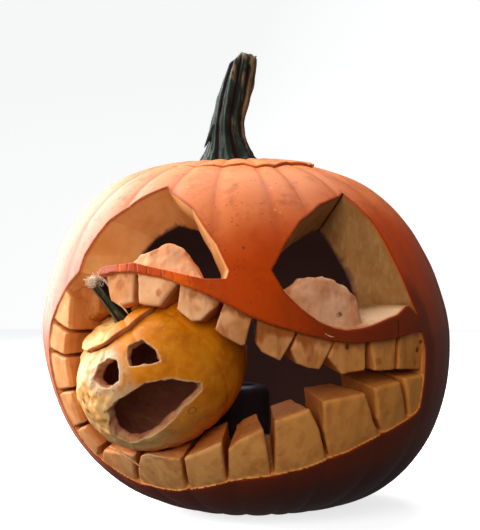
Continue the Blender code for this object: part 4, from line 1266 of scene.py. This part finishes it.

# %% [markdown]
# The rind is waxy and deep orange, with pale scars and tiny dark pores. Its crown and its left are
# painted pale as painted light and sheen, and its right side and its foot are painted brown as painted
# shade. The lip under the left eye is the freshest orange. A thin red-brown line is painted along the
# edge of every cut as painted shade. Flesh under it is painted cream where the light reaches it and
# browner on the right. The peeled fronts of the teeth have dried to tan and are painted darker towards
# the right as painted shade, their sides are more orange, and the roots of the upper ones are browned,
# partly as painted shade under the lip. The same steps without the flesh serve for the lid.

# %% Rind and flesh
def dress_rind(name, with_flesh=True):
    finish = Finish(name)
    place = finish.place
    depth = finish.layer("depth")
    groove = finish.layer("groove")
    broad = place.noise(55.0, 2.0)
    middle = place.noise(14.0, 3.0, 0.6)
    fine = place.noise(2.2, 2.0, 0.6)
    across = place.axis(0)
    upward = place.axis(2)
    # the skin: orange, a crown and a left side painted pale as painted light and sheen, darker clouds,
    # blotches, and grooves painted darker, partly as painted shade
    # painted light: the crown painted paler orange where the light from above falls on it
    crown = (upward + (broad - 0.5) * 0.06 - across * 0.10).step(0.195, 0.275)
    skin = crown.blend((200, 68, 0), (240, 140, 74))
    # painted sheen: the left side painted pale pink where the window behind it glances off the rind
    painted_left_sheen = (across * -1.0 + upward * 0.25 + (broad - 0.5) * 0.05).step(0.07, 0.17)
    skin = (painted_left_sheen * 0.5).over(skin, 226, 158, 128)
    skin = (middle.step(0.45, 0.75) * 0.4).over(skin, 164, 54, 0)
    blotches = place.noise(11.0, 3.0, 0.65).step(0.6, 0.75) * upward.step(0.12, 0.2)
    skin = (blotches * 0.3).over(skin, 128, 42, 6)
    # painted shade, partly: the bottoms of the grooves painted a darker orange, partly the rind's own
    # stripe colour
    skin = (groove.step(0.25, 0.9) * 0.3).over(skin, 168, 62, 8)
    # painted shade: the right side, on the front half only, a greyer band at its far right, and the
    # dark foot
    fore = place.axis(1).step(0.09, 0.01)
    shaded = (across * 5.6 - upward * 7.0 + 0.98).step(0.0, 1.6) * fore.mixed(0.3, 1.0)
    skin = (shaded * 0.94).over(skin, 64, 34, 24)
    skin = (across.step(0.11, 0.155) * fore * 0.45).over(skin, 112, 78, 62)
    foot = (upward * -1.0 + (broad - 0.5) * 0.02).step(-0.075, -0.02)
    skin = (foot * fore.mixed(0.3, 0.7)).over(skin, 44, 18, 12)
    pores = place.cells(5.0).step(0.17, 0.08) * place.noise(24.0).step(0.4, 0.58)
    skin = (pores * 0.7).over(skin, 98, 38, 12)
    if not with_flesh:
        flesh = tint(206, 104, 40)
        cut = depth.step(0.7, 1.1)
        finish.set(Base_Color=cut.between(skin, flesh), Roughness=cut.mixed(0.5, 0.65),
                   Specular_IOR_Level=0.25)
        finish.bump(middle * 0.4 + fine * 0.2, 0.5)
        return finish.material
    # scars, the fresh lip under the left eye, the mouth's right upper lip painted dark as painted
    # shade, and the rims of the cuts and the creases painted darker as painted shade
    scars = place.cells(31.0).step(0.05, 0.03) * place.noise(60.0, 1.0).step(0.5, 0.6)
    pale = together([scars] + spots(place, PALE_SPOTS, fine))
    skin = (pale * 0.7).over(skin, 226, 150, 96)
    edge = finish.layer("edge")
    lip = spot(place, (-64.0, -132.0, 186.0), 44.0, fine) * edge.step(8.5, 6.0)
    skin = lip.between(skin, middle.step(0.4, 0.6).blend((226, 94, 0), (190, 68, 0)))
    # painted shade: the right half of the mouth's upper lip, near the cuts
    shadow = across.step(0.0, 0.07) * upward.step(0.19, 0.165) * edge.step(19.0, 10.0)
    skin = (shadow * 0.7).over(skin, 100, 36, 14)
    # painted shade: a thin red-brown line on the skin along the edge of every cut
    rim = (edge + (fine - 0.5) * 1.2).step(2.6, 0.8) * (1.0 - lip * 0.75)
    skin = (rim * 0.55).over(skin, 150, 48, 6)
    # painted shade: the creases painted darker in their folds
    creases = scratches(place, CREASES)
    skin = (creases * 0.3).over(skin, 156, 52, 10)
    # the walls of the cuts
    fibres = place.stretch(1.0, 1.0, 0.35).noise(3.2, 3.0, 0.6)
    clouds = place.noise(16.0, 2.0, 0.55)
    lit = across.step(0.06, -0.05)
    cloudy = clouds.step(0.35, 0.7)
    flesh = lit.between(cloudy.blend((178, 126, 72), (164, 110, 58)),
                        cloudy.blend((250, 186, 116), (240, 164, 90)))
    flesh = (fibres.step(0.45, 0.75) * 0.2).over(flesh, 238, 186, 128)
    # the peeled fronts of the teeth: upper left, upper right painted darker as painted shade, lower
    # painted a little darker towards the right as painted shade, and the outermost on the left
    tooth = finish.layer("tooth")
    tone = finish.layer("tone")
    dried = clouds.step(0.38, 0.72)
    front = dried.blend((252, 190, 136), (230, 150, 92))
    # painted shade: the upper teeth right of the middle painted darker
    front = across.step(-0.045, 0.01).between(front, dried.blend((222, 150, 90), (184, 112, 54)))
    low = (upward - across * 0.5).step(0.125, 0.06)
    # painted shade: the lower teeth painted a little darker towards the right
    front = low.between(front, across.step(-0.1, 0.11).blend((244, 172, 98), (232, 150, 68)))
    streaks = place.stretch(1.0, 1.0, 0.4).noise(9.0, 2.0, 0.5)
    front = across.step(-0.075, -0.105).between(front, dried.blend((236, 160, 96), (216, 136, 70)))
    streaky = streaks.step(0.48, 0.68) * across.step(-0.12, -0.05, 0.1, 0.4)
    front = streaky.over(front, 190, 108, 46)
    front = (low * middle.step(0.5, 0.7) * 0.4).over(front, 196, 116, 44)
    # the sides of the teeth, their stains, and their roots browned, partly as painted shade under the
    # lip
    side = fibres.step(0.35, 0.7).blend((190, 108, 44), (204, 124, 54))
    stub = spot(place, skin_point(-57.5, 168.0, 13.0), 15.0, fine)
    deep = depth.step(6.0, 13.0) * (1.0 - stub)
    enamel = deep.between(front, side)
    enamel = (tone.step(0.0, 1.0) * 0.2).over(enamel, 180, 110, 56)
    blot = place.noise(11.0, 2.0, 0.6).step(0.58, 0.74) * 0.35
    # painted shade, partly: the roots of the upper teeth under the overhanging lip, with a ragged
    # stained edge
    root = (edge + (streaks - 0.5) * 22.0).step(-8.0, -2.5) * (1.0 - low) * across.step(-0.06, -0.01)
    enamel = blot.over(enamel, 170, 88, 30)
    enamel = (depth.step(3.6, 5.4) * (1.0 - deep) * 0.5).over(enamel, 186, 100, 38)
    enamel = (root * 0.8).over(enamel, 146, 66, 14)
    flesh = tooth.between(flesh, enamel)
    # crumbly flesh left in the eyes, the shelf of the right eye painted bright as painted light from
    # above, and the scraped hollow painted dark as painted shade
    peak = finish.layer("peak")
    crumb = cloudy.blend((240, 176, 134), (220, 144, 98))
    crumb = (middle.step(0.5, 0.66) * 0.5).over(crumb, 206, 124, 76)
    flesh = (peak * 0.85).between(flesh, crumb)
    # painted light: the level shelf of the right eye, lit from above
    painted_shelf_light = spot(place, (97.0, -112.0, 154.5), 26.0, fine) * depth.step(38.0, 30.0)
    painted_shelf_light = painted_shelf_light * (1.0 - peak) * upward.step(0.163, 0.158) * upward.step(0.143, 0.147)
    flesh = (painted_shelf_light * 0.85).over(flesh, 250, 204, 158)
    # painted shade: the walls of the hollow painted a dark grey-brown
    hollow = finish.layer("hollow") * depth.step(12.0, 26.0)
    flesh = hollow.over(flesh, 104, 66, 54)
    # the orange line under the skin, stains, and the marks that cross both skin and flesh
    under_skin = depth.step(3.6, 1.4) * (1.0 - tooth)
    flesh = (under_skin * 0.65).over(flesh, 206, 92, 30)
    stains = together(spots(place, TAN_SPOTS, fine))
    flesh = (stains * 0.6).over(flesh, 176, 88, 26)
    cut = together([(depth + fine * 0.3).step(1.0, 1.3), tooth.step(0.5, 0.8) * depth.step(0.2, 0.6)])
    surface = cut.between(skin, flesh)
    stains = together(spots(place, BROWN_SPOTS, fine))
    surface = (stains * 0.85).over(surface, 74, 34, 18)
    lines = scratches(place, SCRATCHES)
    surface = (lines * 0.85).over(surface, 70, 26, 12)
    finish.set(Base_Color=surface, Roughness=cut.mixed(0.48, 0.65), Specular_IOR_Level=0.16)
    grain = fibres * 0.5 * cut + fine * 0.15 + middle * 0.35
    dents = together([lines * 0.8, creases * 0.4])
    finish.bump(grain - dents - stains * 0.3, 0.7)
    finish.set(Subsurface_Weight=0.12, Subsurface_Scale=0.004, Subsurface_Radius=(1.0, 0.45, 0.2))
    return finish.material


pumpkin.data.materials.append(dress_rind("rind_and_flesh"))
lid.data.materials.append(dress_rind("lid_rind", with_flesh=False))

# %% [markdown]
# The stalk is dark wood, green-grey along its ridges and purple-brown in its grooves: partly the
# bark's own colour, partly painted highlight on the ridges and painted shade in the grooves. It has tan
# patches where the bark has weathered and a dry cut end; on the small stalk the tan lies along its
# left side as a painted highlight. Both stalks use it, as dry as each one is.

# %% Stalk finish
def dress_stalk(name, ridges, lean, amount, dry_end, tip):
    """`lean` puts the tan right of the middle when positive, and left of it when negative as a painted
    highlight. `tip` is where the dry end starts.
    """
    finish = Finish(name)
    along = finish.place.stretch(1.0, 1.0, 0.16)
    streaks = along.noise(5.0, 3.0, 0.6)
    fine = along.noise(1.3, 2.0, 0.6)
    ridge = finish.layer("ridge") + (fine - 0.5) * 0.12
    right = finish.layer("rightward")
    # partly painted shade and highlight: grooves near black, crests lighter and streaked
    bark = ridge.step(0.84, 1.0).between(tint(30, 17, 20), ridges)
    bark = (streaks.step(0.52, 0.64) * ridge.step(0.88, 0.98) * 0.5).over(bark, 72, 88, 72)
    height = finish.layer("upward")
    patches = finish.place.stretch(1.0, 1.0, 0.35).noise(9.0, 3.0, 0.6)
    patches = patches + right * lean + (height * 0.01 - tip * 0.01) * 0.25 + 0.06
    tan = patches.step(0.5, 0.66) * ridge.step(0.84, 0.97)
    bark = (tan * amount).over(bark, 142, 118, 82)
    dry = (height + (fine - 0.5) * 12.0).step(tip, tip + 6.0)
    bark = (dry * 0.8).between(bark, dry_end)
    finish.set(Base_Color=bark, Roughness=0.62, Specular_IOR_Level=0.25)
    finish.bump(fine, 0.6)
    return finish.material


stalk.data.materials.append(dress_stalk("stalk_bark", tint(34, 50, 40), 0.22, 0.9,
                                        tint(116, 104, 82), 352.0))
# on the small stalk the tan lies along its left side, as a painted highlight
small_stalk.data.materials.append(dress_stalk("small_stalk_bark", tint(44, 64, 40), -0.28, 0.4,
                                              tint(232, 206, 178), 76.5))

# %% [markdown]
# Torn fibres and shavings are dry and pale. They are too thin to show more than two tones.

# %% Fibre and shaving finish
for piece, name, light, dark in ((fibres, "torn_fibres", tint(246, 222, 196), tint(214, 180, 146)),
                                 (shavings, "shaved_flesh", tint(232, 176, 124), tint(206, 140, 84))):
    finish = Finish(name)
    finish.set(Base_Color=finish.place.noise(3.0).step(0.35, 0.65).between(light, dark), Roughness=0.7)
    piece.data.materials.append(finish.material)

# %% [markdown]
# The small pumpkin is yellow-orange and mottled, paler and wartier towards its left, with a few
# spots of rot. Its skin was scraped and bruised round the eyes, and the rims of its cuts have dried
# to a ragged cream line.

# %% Small pumpkin finish
# x, y, z, size
ROT_SPOTS = [(-108, -134, 110, 2.6), (-102, -139, 101, 1.8), (-116, -117, 94, 2.4),
             (-112, -117, 86, 2.6), (-111, -106, 76, 2.2), (-95, -129, 73, 1.6)]
# a small ring that the knife's tip scored beside the mouth
CURL_CENTRE, CURL_RADIUS = (-38.0, -144.0, 90.0), 3.0


def dress_small(name, fresh, dried):
    """`fresh` and `dried` are two tones of its cut flesh, mixed in clouds; deeper in, the flesh turns
    browner.
    """
    finish = Finish(name)
    place = finish.place
    depth = finish.layer("depth")
    pale = finish.layer("pale")
    clouds = place.noise(16.0, 3.0, 0.6)
    mottles = place.noise(5.0, 3.0, 0.65)
    fine = place.noise(1.6, 2.0, 0.6)
    ripe = clouds.step(0.35, 0.7).blend((232, 138, 14), (206, 108, 0))
    ripe = (mottles.step(0.5, 0.7) * 0.5).over(ripe, 232, 156, 44)
    cream = clouds.step(0.35, 0.65).blend((248, 192, 116), (236, 164, 76))
    skin = (pale * 0.8 + mottles * 0.4 - 0.15).step(0.2, 0.8).between(ripe, cream)
    warts = place.noise(8.0, 3.0, 0.6)
    skin = (warts.step(0.5, 0.7) * pale.step(0.1, 0.7) * 0.45).over(skin, 196, 112, 34)
    specks = place.cells(7.0).step(0.15, 0.07) * pale.step(0.3, 0.8)
    rot = together([specks] + [spot(place, row[:3], row[3], fine) for row in ROT_SPOTS])
    skin = (rot * 0.8).over(skin, 84, 76, 60)
    height = place.axis(2)
    # painted light: the lower part painted paler and yellower, against the orange light the big pumpkin
    # throws on it
    skin = (height.step(0.105, 0.06) * 0.4).over(skin, 222, 164, 96)
    away = place.away_from(CURL_CENTRE)
    curl = away.step(CURL_RADIUS * MM - 0.0012, CURL_RADIUS * MM - 0.0004)
    curl = curl * away.step(CURL_RADIUS * MM + 0.0008, CURL_RADIUS * MM)
    skin = (curl * 0.5).over(skin, 128, 62, 8)
    face = finish.layer("face")
    scraped = (face + (clouds - 0.5) * 26.0).step(10.0, 4.0)
    scraped = scraped * pale.step(0.05, 0.4) * height.step(0.085, 0.105)
    skin = (scraped * 0.7).over(skin, 206, 166, 128)
    bruise = place.noise(4.0, 2.0).step(0.64, 0.7) * scraped
    skin = (bruise * 0.8).over(skin, 104, 104, 106)
    rim = (face + (fine - 0.5) * 3.0).step(1.9, 0.9)
    skin = (rim * 0.5).over(skin, 232, 192, 148)
    flesh = clouds.step(0.35, 0.7).between(fresh, dried)
    flesh = depth.step(3.0, 9.0).over(flesh, 176, 104, 76)
    cut = (depth + mottles * 0.8).step(1.0, 1.5)
    finish.set(Base_Color=cut.between(skin, flesh), Roughness=cut.mixed(0.5, 0.68),
               Specular_IOR_Level=0.3)
    finish.bump(mottles * 0.6 + fine * 0.2 + warts * pale * 1.6, 0.6)
    finish.set(Subsurface_Weight=0.1, Subsurface_Scale=0.003, Subsurface_Radius=(1.0, 0.5, 0.2))
    return finish.material


small.data.materials.append(dress_small("pale_rind_and_flesh", tint(226, 160, 110), tint(180, 108, 60)))
small_lid.data.materials.append(dress_small("pale_lid_rind", tint(222, 150, 106), tint(196, 118, 70)))

# %% [markdown]
# The jar is glazed a dark plum-brown with a dull gloss, cloudy as fired glaze is.

# %% Glaze
glaze = Finish("dark_glaze")
clouds = glaze.place.noise(20.0, 2.0)
glaze.set(Base_Color=clouds.step(0.3, 0.7).blend((68, 55, 59), (80, 66, 70)), Roughness=0.4)
jar.data.materials.append(glaze.material)

# %% [markdown]
# ## Stage
# The lantern stands on a white sheet before a white wall. A large window behind its left side draws
# the bright edge, a high sky light shapes the crown, and a weak fill from the front keeps the
# carving readable without washing out the shadows. A faint glow inside shows how deep the hollow is.

# %% Stage, light and camera
# a long lens, level with the face and a touch to the left of the middle
camera_data = bpy.data.cameras.new("camera")
camera_data.lens = 93.8
camera_data.sensor_width = 36.0
camera_data.clip_end = 20.0
camera = put("camera", camera_data, (-0.005, -1.1, 0.1908))
camera.rotation_euler = (math.radians(90.0), 0.0, 0.0)
bpy.context.scene.camera = camera

# name, place, width and height in metres, power in watts
LAMPS = [("window", (-1.25, 0.65, 0.7), 2.0, 1.4, 72.0), ("sky", (-0.1, 0.5, 1.6), 1.6, 1.2, 26.0),
         ("fill", (-0.5, -1.65, 0.85), 1.2, 1.2, 17.5)]
AIM = Vector((0.0, 0.0, 0.14))
bpy.context.scene.view_settings.view_transform = "Standard"
for name, place, width, height, power in LAMPS:
    data = bpy.data.lights.new(name, 'AREA')
    data.shape = 'RECTANGLE'
    data.size = width
    data.size_y = height
    data.energy = power
    lamp = put(name, data, place)
    lamp.rotation_euler = (AIM - Vector(place)).to_track_quat('-Z', 'Y').to_euler()
    lamp.visible_glossy = name != "fill"
# the glow inside
ember = bpy.data.lights.new("ember", 'POINT')
ember.energy = 0.05
ember.color = (0.7, 0.8, 1.0)
ember.shadow_soft_size = 0.03
put("ember", ember, (0.0, 0.0, 0.15))

world = bpy.data.worlds.new("studio")
world.use_nodes = True
background = world.node_tree.nodes["Background"]
background.inputs["Color"].default_value = (0.9, 0.95, 1.0, 1.0)
background.inputs["Strength"].default_value = 0.15
bpy.context.scene.world = world


def flat_sheet(name, corners):
    """A white sheet that glows a little, so that it stays white in the shade."""
    mesh = bpy.data.meshes.new(name)
    mesh.from_pydata(corners, [], [(0, 1, 2, 3)])
    sheet = put(name, mesh)
    material = bpy.data.materials.new(name)
    material.use_nodes = True
    shader = material.node_tree.nodes["Principled BSDF"]
    for socket, value in (("Base Color", (0.85, 0.85, 0.85, 1.0)), ("Roughness", 0.9),
                          ("Emission Color", (1.0, 1.0, 1.0, 1.0)), ("Emission Strength", 0.75)):
        shader.inputs[socket].default_value = value
    mesh.materials.append(material)
    sheet.visible_diffuse = False
    sheet.visible_glossy = False
    sheet.visible_transmission = False
    return sheet


REACH, WALL_BEHIND = 4, 3      # half the sheet's width, and how far back the wall stands, in metres
floor = flat_sheet("floor", [(-REACH, -REACH, 0), (REACH, -REACH, 0), (REACH, REACH, 0),
                             (-REACH, REACH, 0)])
backdrop = flat_sheet("backdrop", [(-REACH, WALL_BEHIND, 0), (REACH, WALL_BEHIND, 0),
                                   (REACH, WALL_BEHIND, REACH), (-REACH, WALL_BEHIND, REACH)])
